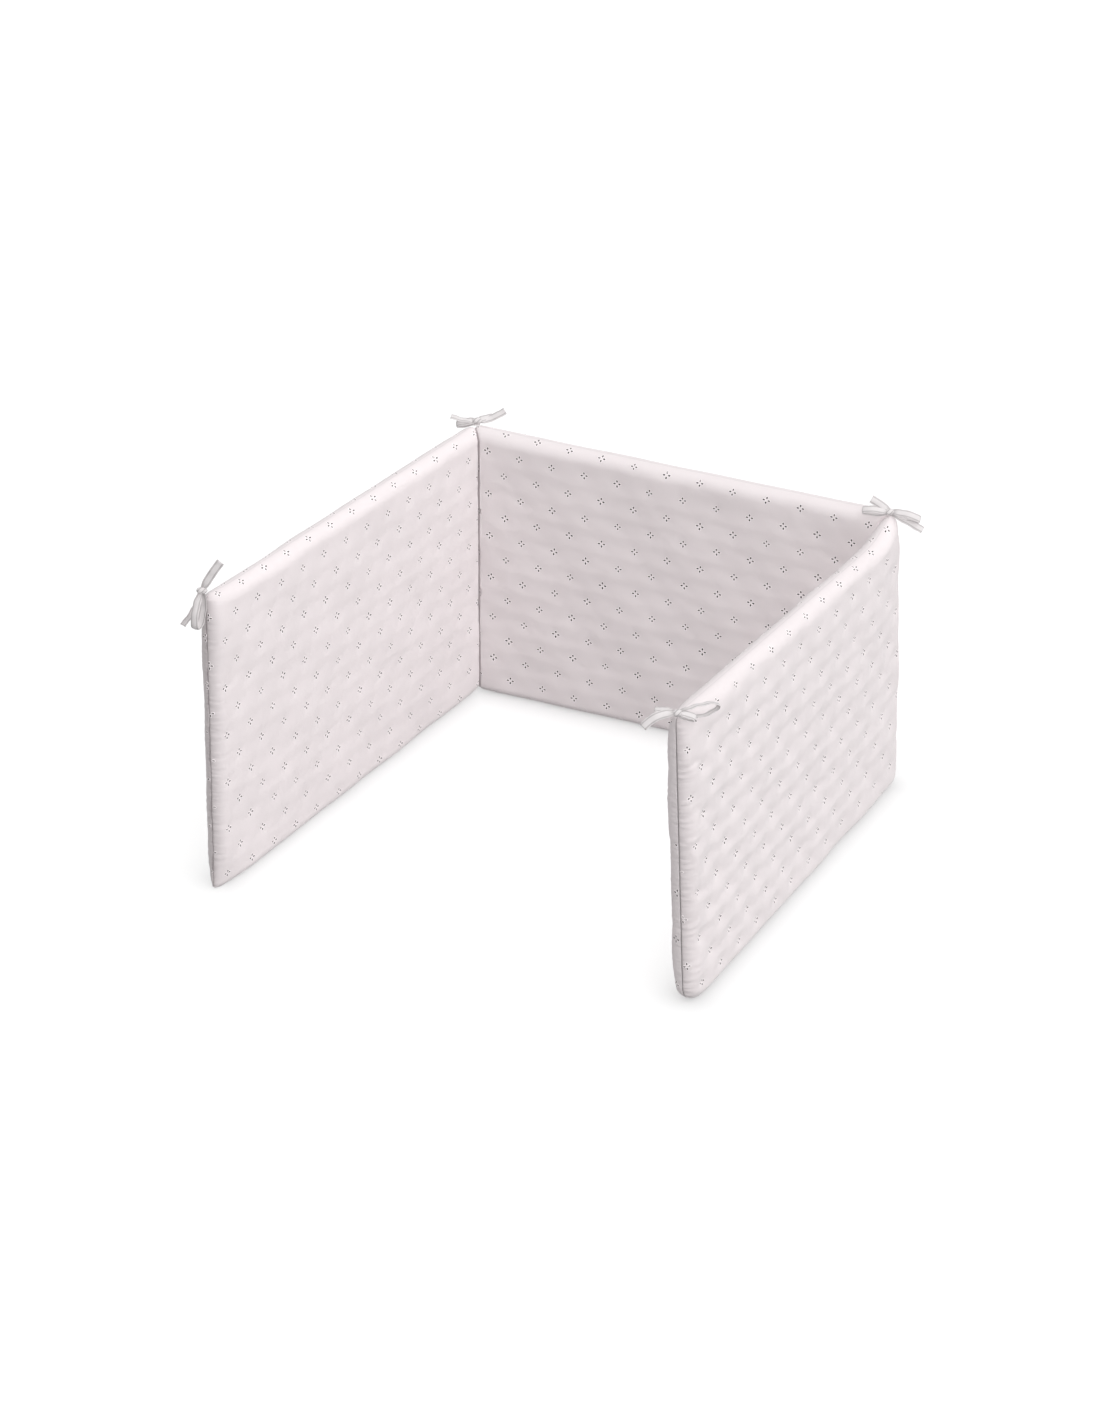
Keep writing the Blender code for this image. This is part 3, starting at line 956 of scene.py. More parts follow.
    def shell(
        self, outer: np.ndarray, inner: np.ndarray
    ) -> tuple[np.ndarray, dict[Face, np.ndarray], np.ndarray]:
        """Close two cloths into one skin by sharing their rims.

        Args:
            outer: The outer cloth's points. Its rim is moved half way to the inner one's.
            inner: The inner cloth's points. Its rim becomes the outer one's.

        Returns:
            The skin's vertices, each cloth's grid of vertex numbers, and the quads, turned out.
        """
        rim = np.ones(outer.shape[:2], dtype=bool)
        rim[1:-1, 1:-1] = False
        outer[rim] = (outer[rim] + inner[rim]) / 2
        inner[rim] = outer[rim]
        columns, rows = outer.shape[:2]
        outer_index = np.arange(columns * rows).reshape(columns, rows)
        inner_index = outer_index.copy()
        inner_index[~rim] = columns * rows + np.arange((columns - 2) * (rows - 2))
        vertices = np.concatenate([outer.reshape(-1, 3), inner[~rim]])
        quads = np.concatenate([grid_quads(outer_index), grid_quads(inner_index)[:, ::-1]])
        _, outward = self.axes()
        if np.mean(grid_normals(outer) @ outward) < 0:
            quads = quads[:, ::-1]
        return vertices, {Face.OUTER: outer_index, Face.INNER: inner_index}, quads

    # ------------------------------------------------------------ the piece
    def build(self, finish: "CottonFinish") -> bpy.types.Object:
        """Args:
            finish: The cloth's finish.

        Returns:
            The padded piece.
        """
        self.blown = ClothInflation(self).run()
        outer, inner = self.surface(Face.OUTER), self.surface(Face.INNER)
        vertices, _, quads = self.shell(outer, inner)
        self.grids = {Face.OUTER: outer - self.plan.shift, Face.INNER: inner - self.plan.shift}
        mesh = polygon_mesh(self.name + "_cloth", vertices - self.plan.shift, [(quads, 0)])

        places = []
        # The seam mark is the shade painted in and beside the seams.
        marks: dict[str, list[np.ndarray]] = {"seam": [], "end_gather": [], "long_gather": []}
        for face in Face:
            p, q = self.cloth_grid(face)
            block = slice(None) if face is Face.OUTER else slice(1, -1)
            offset = 0.0 if face is Face.OUTER else self.map_offset
            places.append(np.stack([p + offset, q], axis=-1)[block, block].reshape(-1, 2))
            for name, values in self.seam_shade_and_gathers(face).items():
                marks[name].append(values[block, block].ravel())
        add_cloth_map(mesh, np.concatenate(places))
        for name, values in marks.items():
            add_mark(mesh, name, np.concatenate(values))
        mesh.materials.append(finish.material())
        piece = place_piece("pad_" + self.name.removeprefix("panel_"), mesh)
        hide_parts(self.name)
        return piece

    def lay(self, face: Face, p: np.ndarray, q: np.ndarray) -> tuple[np.ndarray, np.ndarray]:
        """Find places on the finished cloth.

        Args:
            face: Which cloth.
            p: Cloth distances along the pad.
            q: Cloth distances up it.

        Returns:
            The points there and the cloth's normals, both bilinear between the grid's points.
        """
        ruler_along, ruler_up = self.rulers(face)
        columns = np.interp(ruler_along.to_plain(p), self.along, np.arange(len(self.along)))
        rows = np.interp(ruler_up.to_plain(q), self.up, np.arange(len(self.up)))
        i = np.minimum(columns.astype(int), len(self.along) - 2)
        j = np.minimum(rows.astype(int), len(self.up) - 2)
        a, b = (columns - i)[..., None], (rows - j)[..., None]

        grid = self.grids[face]
        normals = self.outward_normals(grid, face)

        def blend(values: np.ndarray) -> np.ndarray:
            """Bilinear mean of the four values round each place."""
            low = values[i, j] * (1 - b) + values[i, j + 1] * b
            high = values[i + 1, j] * (1 - b) + values[i + 1, j + 1] * b
            return low * (1 - a) + high * a

        return blend(grid), unit(blend(normals))


# ---------------------------------------------------------------- cloth solver
def doubled(values: np.ndarray, axis: int) -> np.ndarray:
    """Put a cubic mean between every two neighbours: (9 (b + c) - a - d) / 16."""
    rows = np.moveaxis(values, axis, 0)
    wide = np.concatenate([2 * rows[:1] - rows[1:2], rows, 2 * rows[-1:] - rows[-2:-1]])
    result = np.empty((2 * len(rows) - 1, *rows.shape[1:]))
    result[::2] = rows
    result[1::2] = (9.0 * (wide[1:-2] + wide[2:-1]) - wide[:-3] - wide[3:]) / 16.0
    return np.moveaxis(result, 0, axis)


@dataclass
class ClothInflation:
    """Blows a pad up with the cloth solver, held along its seams and at its eyelet flowers.

    The solver works on every other point of the pad's grid. slack is how much longer the cloth is
    than the smooth pad across its folds, slack_along the same along them, tuft how deep the
    flowers are held under it, and tuft_width and hold how far from a flower's middle the cloth is
    drawn down and held.
    """

    pad: PaddedPanel
    frames: int = 14
    quality: int = 5
    pressure: float = 4.0
    sewing_frames: int = 5
    slack: float = 0.006
    slack_along: float = 0.001
    stiffness: float = 15.0
    shear: float = 5.0
    bending: float = 0.5
    tuft: float = 0.0028
    tuft_width: float = 0.0055
    hold: float = 0.0038
    seam_hold: float = 0.0015
    seam_clear: float = 0.010
    seam_fade: float = 0.016
    smoothing: float = 0.35
    cap: float = 0.0035

    def start(self, face: Face) -> tuple[np.ndarray, np.ndarray, np.ndarray, np.ndarray]:
        """Draw one cloth down at its flowers.

        Args:
            face: Which cloth.

        Returns:
            The smooth pad's points, its normals, the drawn points and which of them are held.
        """
        points = self.pad.base(face)
        normals = self.pad.outward_normals(points, face)
        p, q = (grid[::2, ::2] for grid in self.pad.cloth_grid(face))
        points, normals = points[::2, ::2], normals[::2, ::2]
        seam = np.min(self.pad.seam_distances(face), axis=0)[::2, ::2]
        flower = np.full(p.shape, MEASURE.length)
        for x, y in zip(*self.pad.flowers(face)):
            flower = np.minimum(flower, np.hypot(p - x, q - y))
        drawn = self.tuft * bell(flower / self.tuft_width)
        drawn = drawn * np.clip(seam / self.seam_fade, 0.0, 1.0)
        held = (flower < self.hold) & (seam > self.seam_clear) | (seam < self.seam_hold)
        return points, normals, points - normals * drawn[..., None], held

    def cut_from(self, vertices: np.ndarray) -> np.ndarray:
        """The skin as it was cut: stretched by both slacks, across and along its folds."""
        direction, outward = self.pad.axes()
        rising = np.cross(outward, direction)
        tilt = math.radians(self.pad.look.fold_tilt) * (1.0 if rising[2] > 0 else -1.0)
        along = math.cos(tilt) * direction + math.sin(tilt) * rising
        across = math.cos(tilt) * rising - math.sin(tilt) * direction
        return (
            vertices
            + self.slack * (vertices @ across)[:, None] * across
            + self.slack_along * (vertices @ along)[:, None] * along
        )

    def solve(self, mesh: bpy.types.Mesh, places: np.ndarray, held: np.ndarray) -> np.ndarray:
        """Run the solver.

        Args:
            mesh: The closed skin as it was cut.
            places: Where its vertices lie on the sewn pad.
            held: Numbers of the vertices that are drawn there and stay.

        Returns:
            Where the vertices come to lie.
        """
        skin = bpy.data.objects.new(mesh.name, mesh)
        bpy.context.scene.collection.objects.link(skin)
        skin.shape_key_add(name="Basis")
        sewn = skin.shape_key_add(name="sewn")
        sewn.data.foreach_set("co", places.ravel())
        for value in (0.0, 1.0):
            sewn.value = value
            sewn.keyframe_insert("value", frame=1 + value * self.sewing_frames)
        skin.vertex_groups.new(name="held").add([int(number) for number in held], 1.0, "REPLACE")
        solver = skin.modifiers.new("cloth", "CLOTH")
        cloth = solver.settings
        cloth.quality = self.quality
        cloth.tension_stiffness = cloth.compression_stiffness = self.stiffness
        cloth.shear_stiffness, cloth.bending_stiffness = self.shear, self.bending
        cloth.use_pressure, cloth.uniform_pressure_force = True, self.pressure
        cloth.vertex_group_mass = "held"
        cloth.effector_weights.gravity = 0.0
        solver.collision_settings.use_collision = False
        solver.collision_settings.use_self_collision = False
        solver.point_cache.frame_start, solver.point_cache.frame_end = 1, self.frames
        for frame_number in range(1, self.frames + 1):
            bpy.context.scene.frame_set(frame_number)
        blown = skin.evaluated_get(bpy.context.evaluated_depsgraph_get()).to_mesh()
        places = np.empty(3 * len(blown.vertices))
        blown.vertices.foreach_get("co", places)
        bpy.data.objects.remove(skin)
        bpy.data.meshes.remove(mesh)
        bpy.context.scene.frame_set(1)
        return places.reshape(-1, 3)

    def run(self) -> dict[Face, np.ndarray]:
        """Blow the pad up.

        Returns:
            How far each cloth lies over the smooth pad, on the pad's whole grid, in metres.
        """
        smooth = {face: self.start(face) for face in Face}
        drawn = {face: parts[2].copy() for face, parts in smooth.items()}
        vertices, index, quads = self.pad.shell(drawn[Face.OUTER], drawn[Face.INNER])
        held = np.unique(np.concatenate([index[face][smooth[face][3]] for face in Face]))
        mesh = polygon_mesh(self.pad.name + "_skin", self.cut_from(vertices), [(quads, 0)])
        places = self.solve(mesh, vertices, held)
        heights = {}
        for face, (points, normals, _, _) in smooth.items():
            height = np.einsum("ijk,ijk->ij", places[index[face]] - points, normals)
            for axis in (0, 1):
                rows = np.moveaxis(height, axis, 0)
                rows[1:-1] += self.smoothing * ((rows[:-2] + rows[2:]) / 2 - rows[1:-1])
            heights[face] = doubled(doubled(np.clip(height, -self.cap, self.cap), 0), 1)
            LOG.info("%s %s: cloth %.1f to %.1f mm over the smooth pad", self.pad.name,
                     face.name.lower(), height.min() / MILLIMETRE, height.max() / MILLIMETRE)
        return heights


# ---------------------------------------------------------------- embroidered eyelets
@dataclass
class EyeletEmbroidery:
    """The eyelet flowers of one panel: four stitched holes round a point, over and over.

    petal is the distance of each hole from its flower's middle, hole_long and hole_wide are half
    the hole's length and width, and the rim is the raised satin stitching round it. sway is how
    far the flowers are turned in degrees, and size_spread how much their sizes differ.
    """

    pad: PaddedPanel
    petal: float = 0.0035
    hole_long: float = 0.00175
    hole_wide: float = 0.00112
    crest_out: float = 0.00045
    foot_out: float = 0.00105
    hole_lift: float = 0.00006
    crest_lift: float = 0.00032
    foot_lift: float = -0.00012
    sides: int = 8
    petals: int = 4
    sway: float = 4.0
    size_spread: float = 0.04
    seed_factor: int = 7

    def rings(self) -> tuple[np.ndarray, np.ndarray, np.ndarray]:
        """One hole's outline, the crest of its rim and the rim's foot.

        Returns:
            Distances outwards and sideways from the flower's middle, and lifts over the cloth, each
            with a row for each ring. A ring is an ellipse that grows by the ring's offset.
        """
        turn = FULL_TURN * np.arange(self.sides) / self.sides
        grow = np.array([0.0, self.crest_out, self.foot_out])[:, None]
        out = self.petal + (self.hole_long + grow) * np.cos(turn)
        side = (self.hole_wide + grow) * np.sin(turn)
        lift = np.array([self.hole_lift, self.crest_lift, self.foot_lift])[:, None] + 0.0 * turn
        return out, side, lift

    def petals_on(self, face: Face) -> tuple[np.ndarray, np.ndarray, np.ndarray]:
        """Lay every hole of one face.

        Args:
            face: Which cloth.

        Returns:
            Points with a row for each hole, and their places on the cloth along and up.
        """
        chance = np.random.default_rng(self.pad.look.seed * self.seed_factor + int(face.value))
        rows = self.pad.look.rows[face]
        x, y = self.pad.flowers(face)
        turns = math.radians(rows.turn) + np.radians(chance.normal(0.0, self.sway, len(x)))
        sizes = chance.normal(1.0, self.size_spread, len(x))
        quarter = FULL_TURN * np.arange(self.petals) / self.petals
        heading = (turns[:, None] + quarter).ravel()[:, None, None]
        size = np.repeat(sizes, self.petals)[:, None, None]
        out, side, lift = self.rings()
        p, q = (np.repeat(middle, self.petals)[:, None, None] for middle in (x, y))
        p = p + size * (out * np.cos(heading) - side * np.sin(heading))
        q = q + size * (out * np.sin(heading) + side * np.cos(heading))

        ruler_along, ruler_up = self.pad.rulers(face)
        (start, end), (bottom, top) = ruler_along.limits(), ruler_up.limits()
        middle_p, middle_q = p[:, 0].mean(axis=-1), q[:, 0].mean(axis=-1)
        edge = self.hole_long
        inside = (middle_p > start + edge) & (middle_p < end - edge)
        inside &= (middle_q > bottom + edge) & (middle_q < top - edge)
        p, q = p[inside], q[inside]
        points, normals = self.pad.lay(face, p, q)
        points = points + normals * lift[..., None]
        points[..., 2] = np.maximum(points[..., 2], 0.0)
        return points, p, q

    def build(self, thread: "SatinStitchFinish", hole: "EyeletHoleShadeFinish") -> bpy.types.Object:
        """Build and dress the panel's embroidery as one joined mesh.

        Args:
            thread: The finish of the stitched rims.
            hole: The finish of what shows through the holes, painted in shade.

        Returns:
            The piece.
        """
        vertices, places, groups, hole_shades = [], [], [], []
        count = 0
        _, outward = self.pad.axes()
        for face in Face:
            points, p, q = self.petals_on(face)
            index = count + np.arange(points[..., 0].size).reshape(p.shape)
            count = index.max() + 1
            following = np.roll(index, -1, axis=2)
            corners = (index[:, :-1], index[:, 1:], following[:, 1:], following[:, :-1])
            caps, walls = index[:, 0], np.stack(corners, axis=-1).reshape(-1, 4)
            ring = points[0, 0]
            normal = np.cross(ring[self.sides // 4] - ring[0], ring[self.sides // 2] - ring[0])
            if normal @ outward * face.value < 0:
                caps, walls = caps[:, ::-1], walls[:, ::-1]
            groups += [(walls, 0), (caps, 1)]
            vertices.append(points.reshape(-1, 3))
            places.append(np.stack([p, q], axis=-1).reshape(-1, 2))
            # Painted shade: how much darker each face's holes are painted.
            hole_shades.append(np.full(p.size, self.pad.look.hole_shade[face]))
        mesh = polygon_mesh(self.pad.name + "_eyelets", np.concatenate(vertices), groups)
        add_cloth_map(mesh, np.concatenate(places))
        add_mark(mesh, "depth", np.concatenate(hole_shades))
        mesh.materials.append(thread.material())
        mesh.materials.append(hole.material())
        return place_piece("eyelets_" + self.pad.name.removeprefix("panel_"), mesh)


# ---------------------------------------------------------------- ribbon ties
@dataclass
class RibbonTie:
    """A ribbon tied through a panel's top corner: a knot with its tails and loops.

    pinch is the share of the width left at the knot, and opening_share how much of a strand it
    takes to open out. side_power and face_power square up the ribbon's section, body_share is
    its thickness between the hems, and dip is how deep the stitches draw a hem in. The knot is an
    ellipsoid with furrows between the ribbon's turns: cut is their depth, cut_width how wide they
    are, and cut_shade_width how wide the shade painted in them is. crease_shade is the shade painted
    in the pleats and furrows, and underside_shade the shade painted on the ribbon's undersides.
    """

    name: str
    plan: BumperPlan
    width: float = 0.0105
    thickness: float = 0.0012
    pinch: float = 0.55
    opening_share: float = 0.30
    hem: float = 0.0016
    pleat: float = 0.0006
    cup: float = 0.0012
    ripple: float = 0.0004
    stitch_width: float = 0.0006
    stitch_mark: float = 0.75
    crease_shade: float = 1.0
    underside_shade: float = 0.40
    side_power: float = 0.7
    face_power: float = 0.45
    dip: float = 0.42
    dip_width: float = 0.0007
    hem_step: float = 0.0006
    body_share: float = 0.72
    ripple_length: float = 0.017
    ripple_middle: float = 0.4
    pleats: float = 3.0
    profile_points: int = 36
    tail_stations: int = 34
    loop_stations: int = 72
    loop_fullness: float = 0.5
    knot_radii: tuple[float, float, float] = (0.0068, 0.0048, 0.0045)
    knot_around: int = 56
    knot_along: int = 36
    knot_furrow: float = 0.10
    knot_end: float = 0.04
    knot_turns: float = 1.5
    knot_swell: float = 0.02
    knot_waves: tuple[float, float] = (7.0, 5.0)
    furrow_pairs: float = 2.0
    furrow_twist: float = 3.0
    cut: float = 0.10
    cut_width: float = 0.16
    cut_shade_width: float = 0.25
    view_turn: float = 23.4

    def axes(self) -> np.ndarray:
        """Rows of right, near and up, in which the ties are laid out."""
        turn = math.radians(self.view_turn)
        right = [math.cos(turn), math.sin(turn), 0.0]
        near = [math.sin(turn), -math.cos(turn), 0.0]
        return np.array([right, near, [0.0, 0.0, 1.0]])

    def path(self, strand: Strand) -> tuple[np.ndarray, np.ndarray, np.ndarray]:
        """The middle line of a strand.

        Args:
            strand: The tail or loop.

        Returns:
            Points from the knot, the share of the reach at each, and the ribbon's side direction.
            A loop goes out and back: share = (1 - cos t) / 2 with sin t times its opening.
        """
        reach = np.array([strand.right, strand.near, strand.up]) * MILLIMETRE @ self.axes()
        axis = unit(reach)
        level = unit(np.cross(axis, np.array([0.0, 0.0, 1.0])))
        lift = np.cross(level, axis)
        roll = math.radians(strand.roll)
        across = math.cos(roll) * level + math.sin(roll) * lift
        opening_way = math.cos(roll) * lift - math.sin(roll) * level
        if strand.kind is StrandKind.TAIL:
            share = np.linspace(0.0, 1.0, self.tail_stations)
            swing = np.zeros_like(share)
        else:
            turn = np.linspace(0.0, FULL_TURN, self.loop_stations)
            share = (1.0 - np.cos(turn)) / 2.0
            swell = np.sin(turn) * np.abs(np.sin(turn / 2.0)) ** self.loop_fullness
            swing = swell * strand.opening * MILLIMETRE
        arch = 4.0 * share * (1.0 - share) * strand.arch * MILLIMETRE
        points = share[:, None] * reach + arch[:, None] * lift + swing[:, None] * opening_way
        return points, share, across

    def strand_grid(
        self, strand: Strand, phase: float
    ) -> tuple[np.ndarray, np.ndarray, np.ndarray]:
        """The surface of one strand.

        Args:
            strand: The tail or loop.
            phase: Moves its small ripples.

        Returns:
            Points by station and profile point, their places on the flat ribbon, and the mark there:
            darker along the stitched hems, and shade painted in the pleats. The profile is a
            flattened tube with fuller hems along both sides, folded into pleats where it is pinched.
        """
        points, share, across = self.path(strand)
        tangent = unit(np.gradient(points, axis=0))
        side = unit(across - (tangent @ across)[:, None] * tangent)
        facing = np.cross(tangent, side)
        opened = ease(np.clip(share / self.opening_share, 0.0, 1.0))
        walked = np.concatenate([[0.0], np.cumsum(np.linalg.norm(np.diff(points, axis=0), axis=1))])

        turn = FULL_TURN * np.arange(self.profile_points) / self.profile_points
        over = np.sign(np.cos(turn)) * np.abs(np.cos(turn)) ** self.side_power
        under = np.sign(np.sin(turn)) * np.abs(np.sin(turn)) ** self.face_power
        from_edge = (1.0 - np.abs(over)) * self.width / 2
        hem = 1.0 - self.dip * bell((from_edge - self.hem) / self.dip_width)
        body = np.where(from_edge > self.hem + self.hem_step, self.body_share, 1.0) * hem
        half_width = (self.width / 2 * (self.pinch + (1.0 - self.pinch) * opened))[:, None]
        folds = np.cos(self.pleats * math.pi * over)
        gathered = (1.0 - opened)[:, None] * self.pleat * folds
        ripple = self.ripple * np.sin(FULL_TURN * walked / self.ripple_length + phase)[:, None]
        ripple = ripple * (self.ripple_middle + over**2)
        cupped = self.cup * (over**2 - 1.0 / 3.0)
        lift = self.thickness / 2 * body * under + gathered + (ripple + cupped) * opened[:, None]
        grid = points[:, None] + (half_width * over)[..., None] * side[:, None]
        grid = grid + lift[..., None] * facing[:, None]
        flat = np.stack(np.broadcast_arrays(walked[:, None], self.width / 2 * over), axis=-1)
        # Darker along the stitched hems, and shade painted in the pleats.
        stitched = self.stitch_mark * bell((from_edge - self.hem) / self.stitch_width)
        pleat_shade = self.crease_shade * (1.0 - opened)[:, None] * (0.5 - 0.5 * folds)
        return grid, flat, np.maximum(stitched * np.ones_like(pleat_shade), pleat_shade)

    def knot_grid(self) -> tuple[np.ndarray, np.ndarray, np.ndarray]:
        """The knot: an ellipsoid whose radius is less by cos^2 and by exp(-(cos / width)^2).

        The cosine's argument winds round the knot, so both make furrows that wind round it.

        Returns:
            Points from one end to the other by turn, their places on the flat ribbon, and the shade
            painted in the furrows.
        """
        tilt, turn = np.meshgrid(
            np.linspace(self.knot_end, math.pi - self.knot_end, self.knot_along),
            FULL_TURN * np.arange(self.knot_around) / self.knot_around,
            indexing="ij",
        )
        furrow = np.cos(self.furrow_pairs * turn + self.furrow_twist * tilt)
        swell = 1.0 - self.knot_furrow * furrow**2 - self.cut * bell(furrow / self.cut_width)
        around, endways = self.knot_waves
        swell = swell + self.knot_swell * np.sin(around * turn + endways * tilt)
        x = self.knot_radii[0] * np.cos(tilt) * swell
        y = self.knot_radii[1] * np.sin(tilt) * np.cos(turn) * swell
        z = self.knot_radii[2] * np.sin(tilt) * np.sin(turn) * swell
        flat = np.stack([turn * self.knot_radii[1], tilt * self.knot_radii[0]], axis=-1)
        # Painted shade in the furrows between the ribbon's turns.
        painted_shade = self.crease_shade * bell(furrow / self.cut_shade_width)
        return np.stack([x, y, z], axis=-1) @ self.axes(), flat, painted_shade

    @staticmethod
    def tube(index: np.ndarray) -> list[np.ndarray]:
        """Walls and two end caps of a closed tube of vertex numbers."""
        following = np.roll(index, -1, axis=1)
        walls = np.stack([index[:-1], following[:-1], following[1:], index[1:]], axis=-1)
        return [walls.reshape(-1, 4), np.stack([index[0][::-1], index[-1]])]

    def build(self, finish: "RibbonFinish", rests_on: list[str]) -> bpy.types.Object:
        """Args:
            finish: The ribbon's finish.
            rests_on: Names of the pieces that it is tied through; not used.

        Returns:
            The piece.
        """
        seat, strands = TIES[self.name]
        place = self.plan.lines[seat.upright][1] - self.plan.shift
        place = place + np.array(seat.offset) * MILLIMETRE @ self.axes()
        grids = [self.knot_grid()]
        grids += [self.strand_grid(strand, number) for number, strand in enumerate(strands)]
        vertices, flats, faces, marks = [], [], [], []
        count = 0
        for grid, flat, painted_shade in grids:
            index = count + np.arange(grid[..., 0].size).reshape(grid.shape[:2])
            count = index.max() + 1
            parts = self.tube(index)
            middle = grid.mean(axis=1, keepdims=True)
            normal = np.cross(np.gradient(grid, axis=1), np.gradient(grid, axis=0))
            out = np.sign((normal * (grid - middle)).sum())
            # Painted shade on the parts that face down, the ribbon's undersides.
            below = np.clip(-out * unit(normal)[..., 2], 0.0, 1.0)
            faces += [(part if out > 0 else part[:, ::-1], 0) for part in parts]
            vertices.append(grid.reshape(-1, 3) + place)
            flats.append(flat.reshape(-1, 2))
            marks.append(np.maximum(painted_shade, self.underside_shade * below).ravel())
        mesh = polygon_mesh(self.name + "_ribbon", np.concatenate(vertices), faces)
        add_cloth_map(mesh, np.concatenate(flats))
        # Stitching mark: darker along the hems, painted shade in folds and on undersides.
        add_mark(mesh, "stitching", np.concatenate(marks))
        mesh.materials.append(finish.material())
        piece = place_piece("ribbon_" + self.name.removeprefix("tie_"), mesh)
        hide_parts(self.name)
        self.flat_length()
        return piece

    def flat_length(self) -> float:
        """Length of ribbon in the tie: its strands, and its turns round the knot."""
        total = self.knot_turns * FULL_TURN * self.knot_radii[1]
        for strand in TIES[self.name][1]:
            points, _, _ = self.path(strand)
            total += float(np.linalg.norm(np.diff(points, axis=0), axis=1).sum())
        return total


# ---------------------------------------------------------------- node helpers
@dataclass
class NodeBench:
    """Adds and joins nodes in one tree."""

    tree: bpy.types.NodeTree

    def add(self, kind: str, **settings: object) -> bpy.types.Node:
        """Add a node and set its properties and, where a name is one of its inputs, that input."""
        node = self.tree.nodes.new(kind)
        for name, value in settings.items():
            if hasattr(node, name):
                setattr(node, name, value)
            else:
                node.inputs[name.replace("_", " ")].default_value = value
        return node

    def join(self, source: bpy.types.NodeSocket, node: bpy.types.Node, socket: str | int) -> None:
        """Join an output to one of a node's inputs."""
        self.tree.links.new(source, node.inputs[socket])

    def maths(
        self, operation: str, first: object, second: object = 0.0, third: object = 0.0
    ) -> bpy.types.NodeSocket:
        """Add a Math node.

        Args:
            operation: Its operation.
            first: A number or an output.
            second: A number or an output.
            third: A number or an output.

        Returns:
            The node's output.
        """
        node = self.add("ShaderNodeMath", operation=operation)
        for slot, value in enumerate((first, second, third)):
            if isinstance(value, bpy.types.NodeSocket):
                self.join(value, node, slot)
            else:
                node.inputs[slot].default_value = value
        return node.outputs[0]

    def blend(self, share: object, first: object, second: object) -> bpy.types.NodeSocket:
        """Add a colour mix.

        Args:
            share: An output, 0 for the first colour and 1 for the second.
            first: A colour or an output.
            second: A colour or an output.

        Returns:
            The mixed colour.
        """
        node = self.add("ShaderNodeMix", data_type="RGBA")
        self.join(share, node, 0)
        for slot, value in ((6, first), (7, second)):
            if isinstance(value, bpy.types.NodeSocket):
                self.join(value, node, slot)
            else:
                node.inputs[slot].default_value = (*value, 1.0)
        return node.outputs[2]


def new_group(name: str, inputs: dict[str, float], outputs: list[str]) -> NodeBench:
    """Make an empty shader node group.

    Args:
        name: The group's name.
        inputs: Its numbers and their usual values.
        outputs: Names of the values that it puts out.

    Returns:
        A bench for the group's own tree.
    """
    group = bpy.data.node_groups.new(name, "ShaderNodeTree")
    for label, value in inputs.items():
        socket = group.interface.new_socket(
            name=label, in_out="INPUT", socket_type="NodeSocketFloat"
        )
        socket.default_value = value
    for label in outputs:
        group.interface.new_socket(name=label, in_out="OUTPUT", socket_type="NodeSocketFloat")
    group.nodes.new("NodeGroupInput").name = "in"
    group.nodes.new("NodeGroupOutput").name = "out"
    return NodeBench(group)


# How high the threads' crossings stand, and the stretch and start of the slubs either way.
CROSSING = 0.25
SLUBS = (((60.0, 900.0, 1.0), 0.0), ((900.0, 60.0, 1.0), 3.0))


def weave_group() -> bpy.types.NodeTree:
    """Plain weave on the cloth's own map: sin(2 pi u / pitch) * sin(2 pi v / pitch), and slubs."""
    if "Plain weave" in bpy.data.node_groups:
        return bpy.data.node_groups["Plain weave"]
    bench = new_group("Plain weave", {"Pitch": 0.0008, "Slub": 0.5}, ["Height", "Tone"])
    given, result = bench.tree.nodes["in"], bench.tree.nodes["out"]
    cloth = bench.add("ShaderNodeUVMap", uv_map="cloth")
    split = bench.add("ShaderNodeSeparateXYZ")
    bench.join(cloth.outputs["UV"], split, 0)
    threads = []
    for axis in ("X", "Y"):
        turns = bench.maths("DIVIDE", split.outputs[axis], given.outputs["Pitch"])
        threads.append(bench.maths("SINE", bench.maths("MULTIPLY", turns, FULL_TURN)))
    crossing = bench.maths("MULTIPLY", threads[0], threads[1])
    slubs = []
    for stretch, seed in SLUBS:
        scale = bench.add("ShaderNodeMapping")
        scale.inputs["Scale"].default_value = stretch
        scale.inputs["Location"].default_value = (seed, seed, seed)
        bench.join(cloth.outputs["UV"], scale, "Vector")
        noise = bench.add("ShaderNodeTexNoise", Scale=1.0, Detail=2.0)
        bench.join(scale.outputs["Vector"], noise, "Vector")
        slubs.append(noise.outputs[0])
    tone = bench.maths("MULTIPLY", bench.maths("ADD", slubs[0], slubs[1]), 0.5)
    slub_height = bench.maths("MULTIPLY", tone, given.outputs["Slub"])
    height = bench.maths("MULTIPLY_ADD", crossing, CROSSING, slub_height)
    bench.join(height, result, "Height")
    bench.join(tone, result, "Tone")
    return bench.tree


def patch_group() -> bpy.types.NodeTree:
    """Broad unevenness of the cloth's colour: noise in the object's own space."""
    if "Cloth patches" in bpy.data.node_groups:
        return bpy.data.node_groups["Cloth patches"]
    bench = new_group("Cloth patches", {"Scale": 9.0}, ["Tone"])
    given, result = bench.tree.nodes["in"], bench.tree.nodes["out"]
    place = bench.add("ShaderNodeTexCoord")
    noise = bench.add("ShaderNodeTexNoise", Detail=4.0, Roughness=0.6)
    bench.join(place.outputs["Object"], noise, "Vector")
    bench.join(given.outputs["Scale"], noise, "Scale")
    bench.join(noise.outputs[0], result, "Tone")
    return bench.tree


